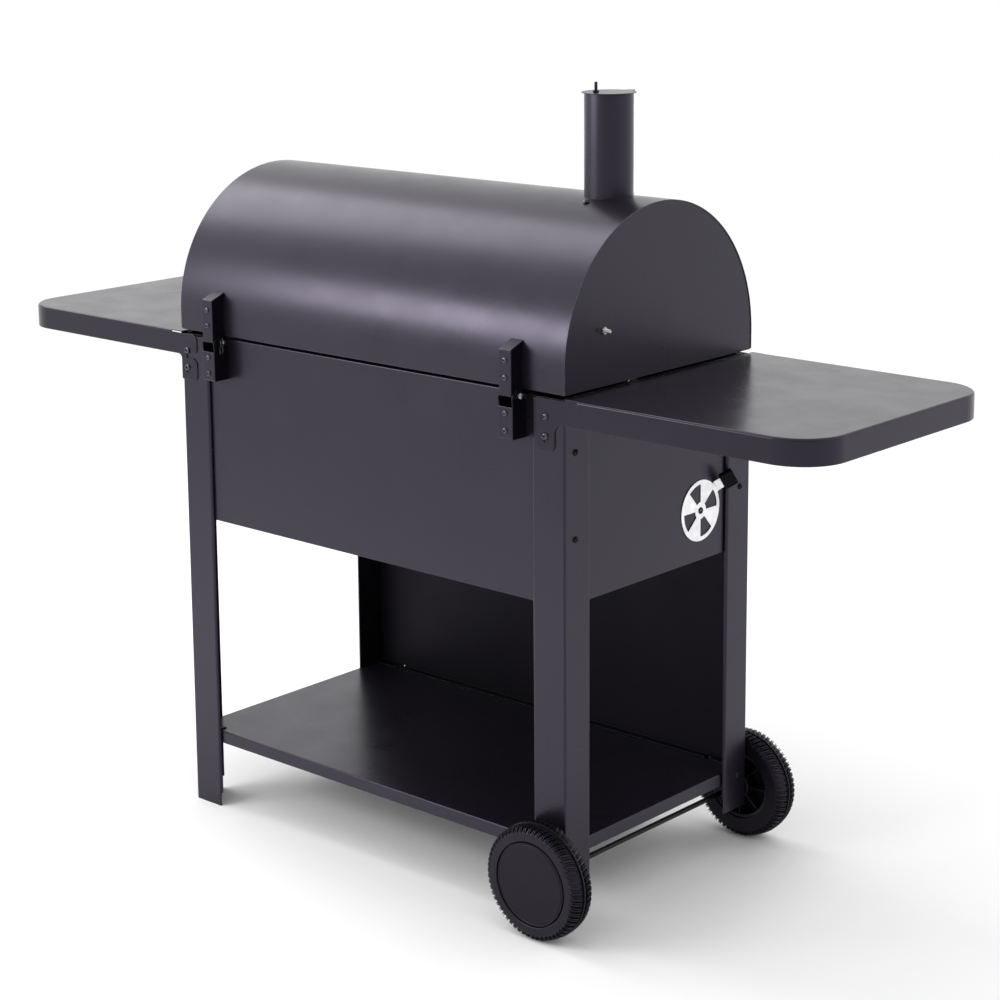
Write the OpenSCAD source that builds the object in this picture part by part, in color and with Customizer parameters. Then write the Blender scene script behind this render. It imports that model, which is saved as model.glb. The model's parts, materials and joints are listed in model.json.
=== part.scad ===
// Barrel-lid charcoal smoker cart with two side tables.
// Front (handle side) faces -Y, the lid hinges at +Y, the wheels are at the -X end, +Z is up.
// The origin is on the ground, below the middle of the firebox.

/* [Firebox and lid] */
// Length of the lid and of the firebox over the legs
body_len = 800; // [780:5:820]
// Depth of the lid and of the firebox over the legs
body_depth = 440; // [430:5:450]
// Height of the firebox rim above the ground
rim_z = 789; // [785:1:793]
// Height of the lower edge of the firebox
box_z = 487; // [480:1:494]
// Gap between the rim and the lid
seam = 5; // [4:1:6]
// Straight height of the lid below its half round
lid_skirt = 30; // [28:1:34]
// Sheet thickness of the box, lid and tables
sheet = 1.5; // [1.2:0.1:1.6]

/* [Legs and shelf] */
// Width of a leg along the body
leg_w = 60; // [56:1:64]
// Width of a leg across the body
leg_d = 57; // [54:1:60]
// Sheet thickness of the legs
leg_t = 2; // [1.6:0.1:2.2]
// Depth of the turned-in lips, which hold the legs off the panels
lip = 6; // [6:0.5:7]
// Height of the wheel-side leg ends above the ground
wheel_leg_z = 64; // [60:1:68]
// Height of the bottom shelf's top face
shelf_z = 129; // [124:1:134]
// Depth of the bottom shelf's edge
shelf_edge = 20; // [18:1:22]

/* [Tables] */
// Length of each side table
table_len = 415; // [400:5:430]
// Depth of a table's edge
table_edge = 37; // [35:1:39]
// Radius of a table's outer corners
table_r = 70; // [60:5:80]

/* [Wheels] */
// Wheel diameter
wheel_dia = 172; // [170:1:176]
// Wheel width
wheel_w = 42; // [41:1:44]
// Distance of the axle from the end of the body
axle_in = 23; // [22:1:26]

/* [Chimney and vent] */
// Chimney diameter
chimney_dia = 72; // [70:1:74]
// Height of the chimney's mouth above the ground
chimney_top = 1192; // [1185:1:1200]
// Distance of the chimney from the middle of the lid
chimney_off = 300; // [295:1:305]
// Diameter of the air vent disc
vent_dia = 94; // [92:1:96]
// Height of the air vent above the ground
vent_z = 564.5; // [560.5:0.5:566.5]
// Distance of the air vent from the middle, towards the front
vent_off = 102; // [99:1:103]

/* [Hinges] */
// Distance of each hinge from the middle of the body
hinge_off = 312; // [305:1:316]
// Width of a hinge over its lower leaf
hinge_w = 27.4; // [26.4:0.5:28.4]
// Distance of the hinge pins behind the body
pin_back = 8.5; // [8.5:0.5:9.5]
// Hinge pin diameter
pin_dia = 8; // [7:0.5:8]

/* [Hidden] */
$fn = 64;

hx = body_len / 2;               // half length over the legs and lid
hy = body_depth / 2;             // half depth over the legs and lid
px = hx - lip;                   // outer face of the box end panels
py = hy - lip;                   // outer face of the box front and rear panels
lid_z = rim_z + seam;            // lower edge of the lid
crown_z = lid_z + lid_skirt;     // axis of the lid's half round
slack = 0.05;                    // clearance of a running or bolted fit
end_gap = 0.3;                   // clearance between sheets that only pass each other
pin_y = hy + pin_back;           // hinge axis
pin_z = rim_z - 3;
floor_z = box_z + 8;             // top of the firebox floor
axle_x = -(hx - axle_in);
axle_z = wheel_dia / 2;
axle_r = 4;
wheel_y = hy + 10;               // inner face of the wheels
shaft_r = 3;                     // M6 fasteners
head_r = 5.5;
head_h = 3.2;
nut_af = 10;
nut_h = 5;
table_nut_h = 4;
table_bolt_len = 17;
screw_r = 2.5;                   // M5 fasteners
pan_r = 4.7;
pan_h = 2.6;
leg_hole_y = 196;                // end-face screws of each leg
leg_hole_z = [584, 710];
shelf_hole_z = 119;
ear_bolt_z = [761, 733];
ear_a_x = 366;                   // bolts of a table's wide ear
ear_b_x = 386;                   // bolts of a table's narrow ear
chimney_x = -chimney_off;
chimney_screw_y = 52;
cap_r = 40;
cap_pivot = [6, 22.5];            // damper post from the chimney's axis
post_at = [chimney_x + cap_pivot[0], cap_pivot[1]];
post_r = 2.5;
vent_x = -px;
vent_y = -vent_off;
vent_rivet_r = 3;
vent_hole_r = [13.3, 40.5];
vent_spokes = 4;
vent_sector = 42;                // degrees of each opening
vent_closed = 44.5;              // where the panel's first opening lies, the disc's lies at 0
grip_angle = 38;                 // where the grip stands on the disc at rest
grip_bend_r = 50;                // radius where the disc's tongue bends outwards
grip_bend = 38;                  // angle of the tongue to the panel
grip_size = [22, 32, 9];         // length, width and thickness
stud_y = 134;                    // warming rack studs on the lid
stud_z = 874;
stud_r = 3;
rack_arm = [-150, -20];          // from the stud to the support pin, Y and Z
link_pin_y = pin_y + rack_arm[0];
link_pin_z = pin_z + rack_arm[1];
support_y = stud_y + rack_arm[0];
support_z = stud_z + rack_arm[1];
rack_x = hx - 17;                // outer face of the rack's end hangers
link_x = hx - 11.5;              // outer face of the support links
link_t = 3;
grate_z = 742;                   // underside of the cooking grates
coal_z = 574;                    // underside of the charcoal grate
hinge_web_y = hy + 23.5;         // outer face of both hinge leaves
hinge_low = pin_z - 62;          // bottom of the lower leaf
hinge_mid = pin_z - 15;          // top of its web, where the upper web comes to rest
hinge_top = pin_z + 67;          // top of the upper leaf's web
hinge_back = pin_z + 78;         // top of its flanks at the wall
hinge_box_z = [761.5, 736.5];    // screws of the lower leaf
hinge_lid_z = [837.5, 812.5];    // screws of the upper leaf
hinge_t = 2;
ear_r = 11;                      // round of the leaves about the pin
pin_tail = 8;                    // reach of a pin past the inner flank
clip_r = 0.9;
clip_turn = 2.8;                 // half the distance of a clip's legs
clip_len = 17;
clip_x = hinge_off - hinge_w / 2 - pin_tail / 2;
handle_angle = 14;               // up the front of the lid's half round
handle_off = 50;
handle_half = 190;
handle_foot_t = 3;
handle_hole = 16;                // lid screws above and below each bracket's post
handle_nut_z = 6.5;              // inner end of their nuts, below the lid's outer face
gauge_angle = 44;
gauge_r = 38;
lift = 0.05;                     // clearance of a flat foot on the round lid

// ---- fasteners and shared shapes ----
module pan_screw(r, hr, hh, len) {
    cylinder(h = hh, r1 = hr, r2 = hr * 0.8);
    translate([0, 0, -len]) cylinder(h = len, r = r);
}
module hex_nut(r, af, h) {
    difference() {
        cylinder(h = h, d = af / cos(30), $fn = 6);
        translate([0, 0, -1]) cylinder(h = h + 2, r = r + slack);
    }
}
// a rod or bore along X, Y or Z that starts at a point
module along_x(r, len, at) { translate(at) rotate([0, 90, 0]) cylinder(h = len, r = r); }
module along_y(r, len, at) { translate(at) rotate([-90, 0, 0]) cylinder(h = len, r = r); }
module along_z(r, len, at) { translate(at) cylinder(h = len, r = r); }
// an outline in the Y-Z plane, given thickness along +X
module slab_yz(x, t) { translate([x, 0, 0]) rotate([90, 0, 90]) linear_extrude(t) children(); }
// an outline in the X-Z plane, given thickness along -Y
module slab_xz(y, t) { translate([0, y, 0]) rotate([90, 0, 0]) linear_extrude(t) children(); }
module box_at(lo, hi) { translate(lo) cube(hi - lo); }
// both ends of the body
module both_ends() { for (s = [-1, 1]) scale([s, 1, 1]) children(); }

// ---- legs ----
module leg_outline() {
    polygon([[hx, hy], [hx - leg_w, hy], [hx - leg_w, hy - lip + end_gap],
        [hx - leg_w + leg_t, hy - lip + end_gap], [hx - leg_w + leg_t, hy - leg_t],
        [hx - leg_t, hy - leg_t], [hx - leg_t, hy - leg_d + leg_t],
        [hx - lip + end_gap, hy - leg_d + leg_t], [hx - lip + end_gap, hy - leg_d],
        [hx, hy - leg_d]]);
}
// a leg at +X, +Y: its foot height, the x of its ear bolts and whether the axle passes it
module leg(foot, ear_x, has_axle) {
    relief = 23;
    color([0.23, 0.22, 0.26]) difference() {
        translate([0, 0, foot]) linear_extrude(rim_z - 4 - foot) leg_outline();
        // the lips stop short of the leg's end
        translate([hx - leg_w - 1, hy - lip - 1, foot - 1]) cube([leg_w - leg_t, lip + 1 - leg_t, relief]);
        translate([hx - lip - 1, hy - leg_d - 1, foot - 1]) cube([lip + 1 - leg_t, leg_d - leg_t, relief]);
        for (z = leg_hole_z) along_x(shaft_r + slack, 20, [hx - 10, leg_hole_y, z]);
        along_x(shaft_r + slack, 20, [hx - 10, leg_hole_y, shelf_hole_z]);
        for (z = ear_bolt_z) along_y(shaft_r + slack, 20, [ear_x, hy - 10, z]);
        if (has_axle) along_y(axle_r + slack, 20, [hx - axle_in, hy - 10, axle_z]);
    }
}
module leg_front_wheel_end() { scale([-1, -1, 1]) leg(wheel_leg_z, ear_b_x, true); }
module leg_rear_wheel_end() { scale([-1, 1, 1]) leg(wheel_leg_z, ear_a_x, true); }
module leg_front_foot_end() { scale([1, -1, 1]) leg(0, ear_a_x, false); }
module leg_rear_foot_end() { leg(0, ear_b_x, false); }

// ---- shelf and lower panel ----
module bottom_shelf() {
    ex = px;
    ey = py;
    low = shelf_z - shelf_edge;
    color([0.20, 0.19, 0.23]) difference() {
        box_at([-ex, -ey, low], [ex, ey, shelf_z]);
        box_at([-ex + sheet, -ey + sheet, low - 1], [ex - sheet, ey - sheet, shelf_z - sheet]);
        both_ends() for (s = [-1, 1])
            along_x(shaft_r + slack, 20, [px - 10, s * leg_hole_y, shelf_hole_z]);
    }
}
module lower_front_panel() {
    foot = shelf_z + 6;
    hem = 14;
    color([0.20, 0.19, 0.23]) {
        box_at([-px, -py, foot], [px, -py + sheet, box_z - end_gap]);
        box_at([-px + leg_w, -py + sheet, foot], [px - leg_w, -py + hem, foot + sheet]);
    }
}

// ---- firebox ----
module panel_holes() {
    for (s = [-1, 1], z = leg_hole_z) along_x(shaft_r + slack, 20, [px - 10, s * leg_hole_y, z]);
    along_x(shaft_r + slack, 20, [px - 10, link_pin_y, link_pin_z]);
}
// a long wall with its outer face at +Y: the x of the table bolts at its two ends
module long_panel(bolts_x) {
    turn = 16;
    color([0.21, 0.20, 0.24]) difference() {
        union() {
            box_at([-px, py - sheet, box_z], [px, py, rim_z]);
            box_at([-px + leg_w, py - turn, rim_z - sheet], [px - leg_w, py - sheet, rim_z]);
        }
        for (x = bolts_x, z = ear_bolt_z) along_y(shaft_r + slack, 20, [x, py - 10, z]);
    }
}
module box_front_panel() { scale([1, -1, 1]) long_panel([-ear_b_x, ear_a_x]); }
module box_rear_panel() {
    difference() {
        long_panel([-ear_a_x, ear_b_x]);
        for (s = [-1, 1], z = hinge_box_z) along_y(screw_r + slack, 30, [s * hinge_off, py - 20, z]);
    }
}
module end_panel() {
    color([0.21, 0.20, 0.24])
        box_at([px - sheet, -py + sheet, box_z], [px, py - sheet, rim_z]);
}
module sector(a, span, r0, r1) {
    intersection() {
        difference() { circle(r = r1); circle(r = r0); }
        polygon([[0, 0], [2 * r1 * cos(a), 2 * r1 * sin(a)],
            [2 * r1 * cos(a + span / 2), 2 * r1 * sin(a + span / 2)],
            [2 * r1 * cos(a + span), 2 * r1 * sin(a + span)]]);
    }
}
module vent_sectors(first) {
    for (k = [0 : vent_spokes - 1])
        sector(first + k * 360 / vent_spokes, vent_sector, vent_hole_r[0], vent_hole_r[1]);
}
module box_end_panel_vent() {
    color([0.21, 0.20, 0.24]) difference() {
        scale([-1, 1, 1]) difference() { end_panel(); panel_holes(); }
        vent_frame() translate([0, 0, -5]) linear_extrude(10) vent_sectors(vent_closed);
        along_x(vent_rivet_r + slack, 10, [vent_x - 5, vent_y, vent_z]);
    }
}
module box_end_panel_plain() { difference() { end_panel(); panel_holes(); } }
module firebox_floor() {
    // its edges turn down inside the walls
    edge = sheet + 0.2;
    ex = px - edge;
    ey = py - edge;
    color([0.12, 0.12, 0.13]) difference() {
        box_at([-ex, -ey, box_z + 0.5], [ex, ey, floor_z]);
        box_at([-ex + sheet, -ey + sheet, box_z - 1], [ex - sheet, ey - sheet, floor_z - sheet]);
    }
}
module grate_rails() {
    // angle rails along the front and rear walls carry both grate levels
    wide = 16;
    half = hinge_off - 10;
    y1 = py - sheet - 0.1;
    color([0.16, 0.16, 0.17]) for (s = [-1, 1]) scale([1, s, 1]) for (z = [grate_z, coal_z]) {
        box_at([-half, y1 - wide, z - sheet], [half, y1, z]);
        box_at([-half, y1 - sheet, z - sheet - 12], [half, y1, z - sheet]);
    }
}
module ash_pan() {
    z0 = floor_z;
    ex = 350;
    ey = 170;
    deep = 30;
    color([0.30, 0.30, 0.31]) difference() {
        box_at([-ex, -ey, z0], [ex, ey, z0 + deep]);
        box_at([-ex + sheet, -ey + sheet, z0 + sheet], [ex - sheet, ey - sheet, z0 + deep + 1]);
    }
}
// a flat bar grate: two end bars, cross bars and a row of slats
module bar_grate(x0, x1, half_y, z, bar, slats, crosses) {
    tall = 6;
    for (s = [-1, 1]) box_at([x0, s * half_y - bar / 2, z], [x1, s * half_y + bar / 2, z + tall]);
    for (k = [0 : crosses - 1]) {
        y = -half_y + (k + 1) * 2 * half_y / (crosses + 1);
        box_at([x0, y - bar / 2, z], [x1, y + bar / 2, z + tall - 2]);
    }
    for (k = [0 : slats]) {
        x = x0 + bar / 2 + k * (x1 - x0 - bar) / slats;
        box_at([x - bar / 2, -half_y, z], [x + bar / 2, half_y, z + tall]);
    }
}
module charcoal_grate() { color([0.25, 0.25, 0.26]) bar_grate(-375, 375, 205, coal_z, 5, 24, 2); }
module cooking_grate_left() { color([0.18, 0.18, 0.19]) bar_grate(-386, -1.5, 205, grate_z, 4, 24, 2); }
module cooking_grate_right() { color([0.18, 0.18, 0.19]) bar_grate(1.5, 386, 205, grate_z, 4, 24, 2); }
module lid_rest_pads() {
    color([0.08, 0.08, 0.08]) both_ends()
        translate([300, -(py - 8), rim_z]) cylinder(h = seam, r = 6);
}

// ---- side tables ----
module table_plan(inset) {
    r = table_r - inset;
    x0 = hx + end_gap;
    x1 = hx + table_len - inset;
    y1 = hy + sheet - inset;
    square_x = x1 - r;
    union() {
        translate([x0, -y1]) square([square_x - x0, 2 * y1]);
        translate([x0, -(y1 - r)]) square([x1 - x0, 2 * (y1 - r)]);
        for (s = [-1, 1]) translate([square_x, s * (y1 - r)]) circle(r = r);
    }
}
// a bolt slot: round at the top, drawn down by a length
module slot_hole(x, z, down) {
    translate([x, z]) circle(r = shaft_r + 0.4);
    translate([x - shaft_r - 0.4, z - down]) square([2 * shaft_r + 0.8, down]);
    translate([x, z - down]) circle(r = shaft_r + 0.4);
}
// the wide ear, drawn in X-Z at the +X end
module ear_wide() {
    top = rim_z - 3;
    low = top - 75;
    difference() {
        union() {
            translate([ear_a_x - 17, low + 17]) square([34, top - low - 17]);
            translate([ear_a_x - 7, low]) square([14, 20]);
            for (s = [-1, 1]) translate([ear_a_x + s * 7, low + 10]) circle(r = 10);
            translate([ear_a_x - 17, low + 10]) square([34, 12]);
            translate([ear_a_x, rim_z + 1 - table_edge]) square([60, table_edge - 4]);
        }
        translate([ear_a_x, ear_bolt_z[0]]) circle(r = shaft_r + 0.4);
        slot_hole(ear_a_x, ear_bolt_z[1], 6);
    }
}
// the narrow ear with its open hook over the upper bolt
module ear_narrow() {
    top = rim_z - 3;
    low = top - 74;
    in_x = hx - 36;
    out_x = hx;
    difference() {
        union() {
            translate([in_x, low + 8]) square([out_x - in_x, top - low - 8]);
            translate([in_x + 8, low]) square([out_x - in_x - 8, 10]);
            translate([in_x + 8, low + 8]) circle(r = 8);
            translate([out_x - 4, rim_z + 1 - table_edge]) square([26, table_edge - 4]);
        }
        slot_hole(ear_b_x, ear_bolt_z[1], 6);
        translate([ear_b_x, ear_bolt_z[0]]) circle(r = shaft_r + 0.4);
        // the hook's mouth
        translate([in_x - 1, ear_bolt_z[0] - 12]) square([ear_b_x - in_x + 1 + 3.4, 8]);
        translate([ear_b_x - 3.4, ear_bolt_z[0] - 8]) square([6.8, 8]);
    }
}
module table_sheet() {
    top = rim_z + 1;
    slit = 22;
    color([0.36, 0.35, 0.39]) {
        difference() {
            translate([0, 0, top - table_edge]) linear_extrude(table_edge) table_plan(0);
            translate([0, 0, top - table_edge - 1]) linear_extrude(table_edge + 1 - sheet) intersection() {
                table_plan(sheet);
                translate([hx + end_gap + sheet, -hy * 2]) square([table_len, hy * 4]);
            }
            // relief slits beside the ears
            for (s = [-1, 1])
                box_at([hx + slit, s * (hy + 1) - 2, top - 10], [hx + slit + 2, s * (hy + 1) + 2, top + 1]);
        }
    }
}
module side_table() {
    color([0.36, 0.35, 0.39]) {
        table_sheet();
        slab_xz(hy + sheet, sheet) ear_narrow();
        slab_xz(-hy, sheet) ear_wide();
    }
}
module table_foot_end() { side_table(); }
module table_wheel_end() { rotate([0, 0, 180]) side_table(); }
module ear_fasteners() {
    for (a = [0, 180]) rotate([0, 0, a]) for (z = ear_bolt_z) {
        translate([ear_b_x, hy + sheet, z]) rotate([-90, 0, 0]) children();
        translate([ear_a_x, -(hy + sheet), z]) rotate([90, 0, 0]) children();
    }
}
module table_bolts() {
    color([0.35, 0.35, 0.36]) ear_fasteners() pan_screw(shaft_r, head_r, head_h, table_bolt_len);
}
module table_nuts() {
    // inside the firebox wall, behind the ear and the leg
    behind = sheet + lip + sheet;
    color([0.35, 0.35, 0.36]) ear_fasteners()
        translate([0, 0, -behind - table_nut_h]) hex_nut(shaft_r, nut_af, table_nut_h);
}

// ---- leg and shelf screws ----
module end_fasteners() {
    both_ends() for (s = [-1, 1], z = concat([shelf_hole_z], leg_hole_z))
        translate([hx, s * leg_hole_y, z]) rotate([0, 90, 0]) children();
}
module leg_screws() { color([0.35, 0.35, 0.36]) end_fasteners() pan_screw(shaft_r, head_r, head_h, 16); }
module leg_screw_nuts() {
    color([0.35, 0.35, 0.36])
        end_fasteners() translate([0, 0, -lip - sheet - nut_h]) hex_nut(shaft_r, nut_af, nut_h);
}

// ---- hinges ----
module hinge_box_side() {
    polygon([[py, hinge_low], [hinge_web_y, hinge_low], [hinge_web_y, pin_z - 6],
        [pin_y + ear_r + 2, pin_z + 1], [pin_y + 9, pin_z + 6], [pin_y, pin_z],
        [pin_y - ear_r, pin_z], [py, pin_z - 8]]);
    translate([pin_y, pin_z]) circle(r = ear_r);
}
module hinge_box_leaves() {
    half = hinge_w / 2;
    color([0.16, 0.15, 0.18]) both_ends() difference() {
        union() {
            for (x = [hinge_off - half, hinge_off + half - hinge_t]) slab_yz(x, hinge_t) hinge_box_side();
            box_at([hinge_off - half, hinge_web_y - hinge_t, hinge_low],
                [hinge_off + half, hinge_web_y, hinge_mid]);
            box_at([hinge_off - half, py, hinge_low], [hinge_off + half, hinge_web_y, hinge_low + hinge_t]);
        }
        along_x(pin_dia / 2 + slack, 60, [hinge_off - 30, pin_y, pin_z]);
        for (z = hinge_box_z) along_y(screw_r + slack, 20, [hinge_off, hinge_web_y - 10, z]);
    }
}
module hinge_lid_side() {
    polygon([[hy - 5, crown_z], [hy, lid_z + 3], [pin_y, pin_z], [hinge_web_y, pin_z],
        [hinge_web_y, hinge_top], [hy - 5, hinge_back]]);
    translate([pin_y, pin_z]) circle(r = ear_r);
}
module hinge_lid_leaves() {
    half = hinge_w / 2 - hinge_t - 0.3;
    color([0.16, 0.15, 0.18]) both_ends() difference() {
        union() {
            for (x = [hinge_off - half, hinge_off + half - hinge_t]) slab_yz(x, hinge_t) hinge_lid_side();
            box_at([hinge_off - half, hinge_web_y - hinge_t, pin_z],
                [hinge_off + half, hinge_web_y, hinge_top]);
            slab_yz(hinge_off - half, 2 * half)
                polygon([[hy - 5, hinge_back], [hinge_web_y, hinge_top],
                    [hinge_web_y, hinge_top - hinge_t], [hy - 5, hinge_back - hinge_t]]);
        }
        // the flanks follow the round of the lid
        slab_yz(hinge_off - hinge_w, 2 * hinge_w) lid_profile(-0.02);
        along_x(pin_dia / 2 + slack, 60, [hinge_off - 30, pin_y, pin_z]);
        for (z = hinge_lid_z) along_y(screw_r + slack, 20, [hinge_off, hinge_web_y - 10, z]);
    }
}
module hinge_pins() {
    // the head is at the outer flank, and a clip holds the tail
    reach = hinge_w / 2 + 0.3;
    head = 4.5;
    color([0.75, 0.75, 0.76]) both_ends() difference() {
        union() {
            along_x(pin_dia / 2, 2 * reach + pin_tail, [hinge_off - reach - pin_tail, pin_y, pin_z]);
            translate([hinge_off + reach, pin_y, pin_z]) rotate([0, 90, 0]) {
                cylinder(h = head, r = 5.2);
                translate([0, 0, head]) cylinder(h = 1.5, r1 = 5.2, r2 = 3.4);
            }
        }
        along_z(clip_r + slack, 20, [clip_x, pin_y, pin_z - 10]);
    }
}
module hinge_clips() {
    // a wire clip: a straight leg through the pin, a bend below and a sprung leg beside the pin
    color([0.60, 0.60, 0.61]) both_ends() translate([clip_x, pin_y, pin_z]) {
        along_z(clip_r, clip_len + 6.5, [0, 0, -clip_len]);
        along_y(clip_r, 2 * clip_turn, [0, 0, -clip_len]);
        along_z(clip_r, clip_len + 4, [0, 2 * clip_turn, -clip_len]);
    }
}
// where a nut bears on the inside of the lid's rear wall, at a height
function lid_wall(z) = let (up = max(0, z + 4.6 - crown_z)) sqrt(pow(hy - sheet, 2) - up * up);
// a long screw and its nut, from the web through the wall
module wall_screw(inside, z) {
    translate([0, hinge_web_y, z]) rotate([-90, 0, 0])
        pan_screw(screw_r, pan_r, pan_h, hinge_web_y - inside + 5);
    translate([0, inside, z]) rotate([90, 0, 0]) hex_nut(screw_r, 8, 4);
}
module hinge_box_screws() {
    color([0.35, 0.35, 0.36]) both_ends()
        for (z = hinge_box_z) translate([hinge_off, 0, 0]) wall_screw(py - sheet, z);
}
module hinge_lid_screws() {
    color([0.35, 0.35, 0.36]) both_ends()
        for (z = hinge_lid_z) translate([hinge_off, 0, 0]) wall_screw(lid_wall(z), z);
}

// ---- lid ----
module lid_profile(inset) {
    r = hy - inset;
    union() {
        translate([-r, lid_z]) square([2 * r, lid_skirt]);
        intersection() {
            translate([0, crown_z]) circle(r = r, $fn = 128);
            translate([-r, crown_z]) square([2 * r, r + 1]);
        }
    }
}
module on_crown(angle) {
    // a point on the front of the lid's half round, with +Z pointing outwards
    translate([0, -hy * cos(angle), crown_z + hy * sin(angle)]) rotate([90 - angle, 0, 0]) children();
}
module lid_shell() {
    hem = 11;
    hem_x = hx - 3;
    color([0.36, 0.35, 0.40]) difference() {
        union() {
            slab_yz(-hx, 2 * hx) difference() {
                lid_profile(0);
                lid_profile(sheet);
            }
            // turned-in hems along the lower edges, which rest on the pads
            for (s = [-1, 1]) scale([1, s, 1])
                box_at([-hem_x, hy - sheet - hem, lid_z], [hem_x, hy - 0.1, lid_z + sheet]);
        }
        along_z(chimney_dia / 2 + 0.2, 60, [chimney_x, 0, crown_z + hy - 30]);
        for (s = [-1, 1]) along_z(screw_r + slack, 60, [chimney_x, s * chimney_screw_y, crown_z + hy - 40]);
        for (s = [-1, 1], z = hinge_lid_z) along_y(screw_r + slack, 30, [s * hinge_off, hy - 20, z]);
        for (s = [-1, 1]) translate([s * handle_half, 0, 0]) on_crown(handle_angle)
            for (k = [-1, 1]) translate([0, k * handle_hole, -7]) cylinder(h = 12, r = screw_r + slack);
        on_crown(gauge_angle) translate([0, 0, -10]) cylinder(h = 20, r = 6 + 0.2);
    }
}
module lid_end() {
    color([0.24, 0.23, 0.27]) difference() {
        slab_yz(hx - 1 - sheet, sheet) lid_profile(sheet + 0.02);
        along_x(stud_r + slack, 20, [hx - 10, stud_y, stud_z]);
    }
}
module lid_end_wheel_side() { scale([-1, 1, 1]) lid_end(); }
module lid_end_foot_side() { lid_end(); }
module rack_studs() {
    color([0.70, 0.70, 0.71]) both_ends() {
        along_x(stud_r, 33, [rack_x - 4, stud_y, stud_z]);
        translate([hx - 1, stud_y, stud_z]) rotate([0, 90, 0]) cylinder(h = 4, d = nut_af / cos(30), $fn = 6);
        translate([hx - 1 - sheet - 4, stud_y, stud_z]) rotate([0, 90, 0])
            cylinder(h = 4, d = nut_af / cos(30), $fn = 6);
    }
}

// ---- handle and thermometer ----
module lid_handle_brackets() {
    foot_w = 22;
    foot_l = 44;
    post_w = 16;
    color([0.10, 0.10, 0.11]) both_ends() translate([handle_half, 0, 0]) on_crown(handle_angle) difference() {
        union() {
            translate([-foot_w / 2, -foot_l / 2, lift]) cube([foot_w, foot_l, handle_foot_t]);
            translate([-foot_w / 2, -post_w / 2, lift]) cube([foot_w, post_w, handle_off]);
            translate([-foot_w / 2, 0, handle_off]) rotate([0, 90, 0]) cylinder(h = foot_w, r = 13);
        }
        translate([-foot_w, 0, handle_off]) rotate([0, 90, 0]) cylinder(h = 2 * foot_w, r = 9 + slack);
        for (k = [-1, 1]) translate([0, k * handle_hole, -5]) cylinder(h = 10, r = screw_r + slack);
    }
}
module lid_handle_grip() {
    color([0.62, 0.62, 0.63]) on_crown(handle_angle)
        translate([-handle_half - 22, 0, handle_off]) rotate([0, 90, 0]) difference() {
            cylinder(h = 2 * handle_half + 44, r = 9);
            translate([0, 0, -1]) cylinder(h = 2 * handle_half + 46, r = 7.8);
        }
}
module lid_handle_screws() {
    color([0.35, 0.35, 0.36]) both_ends() translate([handle_half, 0, 0]) on_crown(handle_angle)
        for (k = [-1, 1]) translate([0, k * handle_hole, handle_foot_t + 2 * lift]) {
            pan_screw(screw_r, pan_r, pan_h, 16);
            translate([0, 0, -handle_foot_t - 2 * lift - handle_nut_z]) hex_nut(screw_r, 8, 4);
        }
}
module thermometer_case() {
    color([0.60, 0.60, 0.61]) on_crown(gauge_angle) translate([0, 0, lift]) {
        difference() {
            cylinder(h = 12, r = gauge_r);
            translate([0, 0, 4]) cylinder(h = 12, r = gauge_r - 3);
        }
        translate([0, 0, -16]) cylinder(h = 17, r = 6);
        translate([0, 0, -70]) cylinder(h = 55, r = 2);
    }
}
module thermometer_lens() {
    color([0.80, 0.85, 0.88, 0.5]) on_crown(gauge_angle)
        translate([0, 0, lift + 9]) cylinder(h = 2, r = gauge_r - 3 - slack);
}
module thermometer_nut() {
    color([0.55, 0.55, 0.56]) on_crown(gauge_angle) translate([0, 0, -sheet - 4.75]) hex_nut(6, 16, 4.5);
}

// ---- chimney ----
module chimney_tube() {
    color([0.24, 0.23, 0.27]) difference() {
        along_z(chimney_dia / 2, chimney_top - 1018, [chimney_x, 0, 1018]);
        along_z(chimney_dia / 2 - sheet, 300, [chimney_x, 0, 1000]);
    }
}
module chimney_flange() {
    // a saddle ring under the crown
    color([0.24, 0.23, 0.27]) difference() {
        intersection() {
            slab_yz(chimney_x - 70, 140) difference() {
                lid_profile(sheet + 0.05);
                lid_profile(2 * sheet + 0.05);
            }
            along_z(62, 100, [chimney_x, 0, crown_z + hy - 60]);
        }
        along_z(chimney_dia / 2 + 0.05, 100, [chimney_x, 0, crown_z + hy - 60]);
        for (s = [-1, 1]) along_z(screw_r + slack, 100, [chimney_x, s * chimney_screw_y, crown_z + hy - 60]);
    }
}
module chimney_screws() {
    color([0.30, 0.30, 0.31]) for (s = [-1, 1]) translate([chimney_x, s * chimney_screw_y, 0]) {
        z = crown_z + sqrt(hy * hy - chimney_screw_y * chimney_screw_y);
        translate([0, 0, z + 1.3]) pan_screw(screw_r, pan_r, pan_h, 16);
        translate([0, 0, z - 2 * sheet - 6.5]) hex_nut(screw_r, 8, 4);
    }
}
module damper_post() {
    // a bar across the chimney carries the threaded post
    bar_z = chimney_top - 9;
    color([0.45, 0.45, 0.46]) {
        intersection() {
            box_at([chimney_x - 40, post_at[1] - 6, bar_z], [chimney_x + 40, post_at[1] + 6, bar_z + 3]);
            along_z(chimney_dia / 2 - sheet - slack, 20, [chimney_x, 0, bar_z - 5]);
        }
        along_z(post_r, 26, [post_at[0], post_at[1], bar_z]);
        translate([post_at[0], post_at[1], chimney_top + 1.6 + slack])
            cylinder(h = 3, d = 8 / cos(30), $fn = 6);
    }
}
module chimney_cap() {
    thick = 1.4;
    tab = 11;
    color([0.30, 0.29, 0.33]) difference() {
        union() {
            along_z(cap_r, thick, [chimney_x, 0, chimney_top + 0.1]);
            translate([chimney_x - 10, -cap_r - tab, chimney_top + 0.1]) cube([13, tab + 2, thick]);
        }
        along_z(post_r + slack, 20, [post_at[0], post_at[1], chimney_top - 5]);
    }
}

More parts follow.
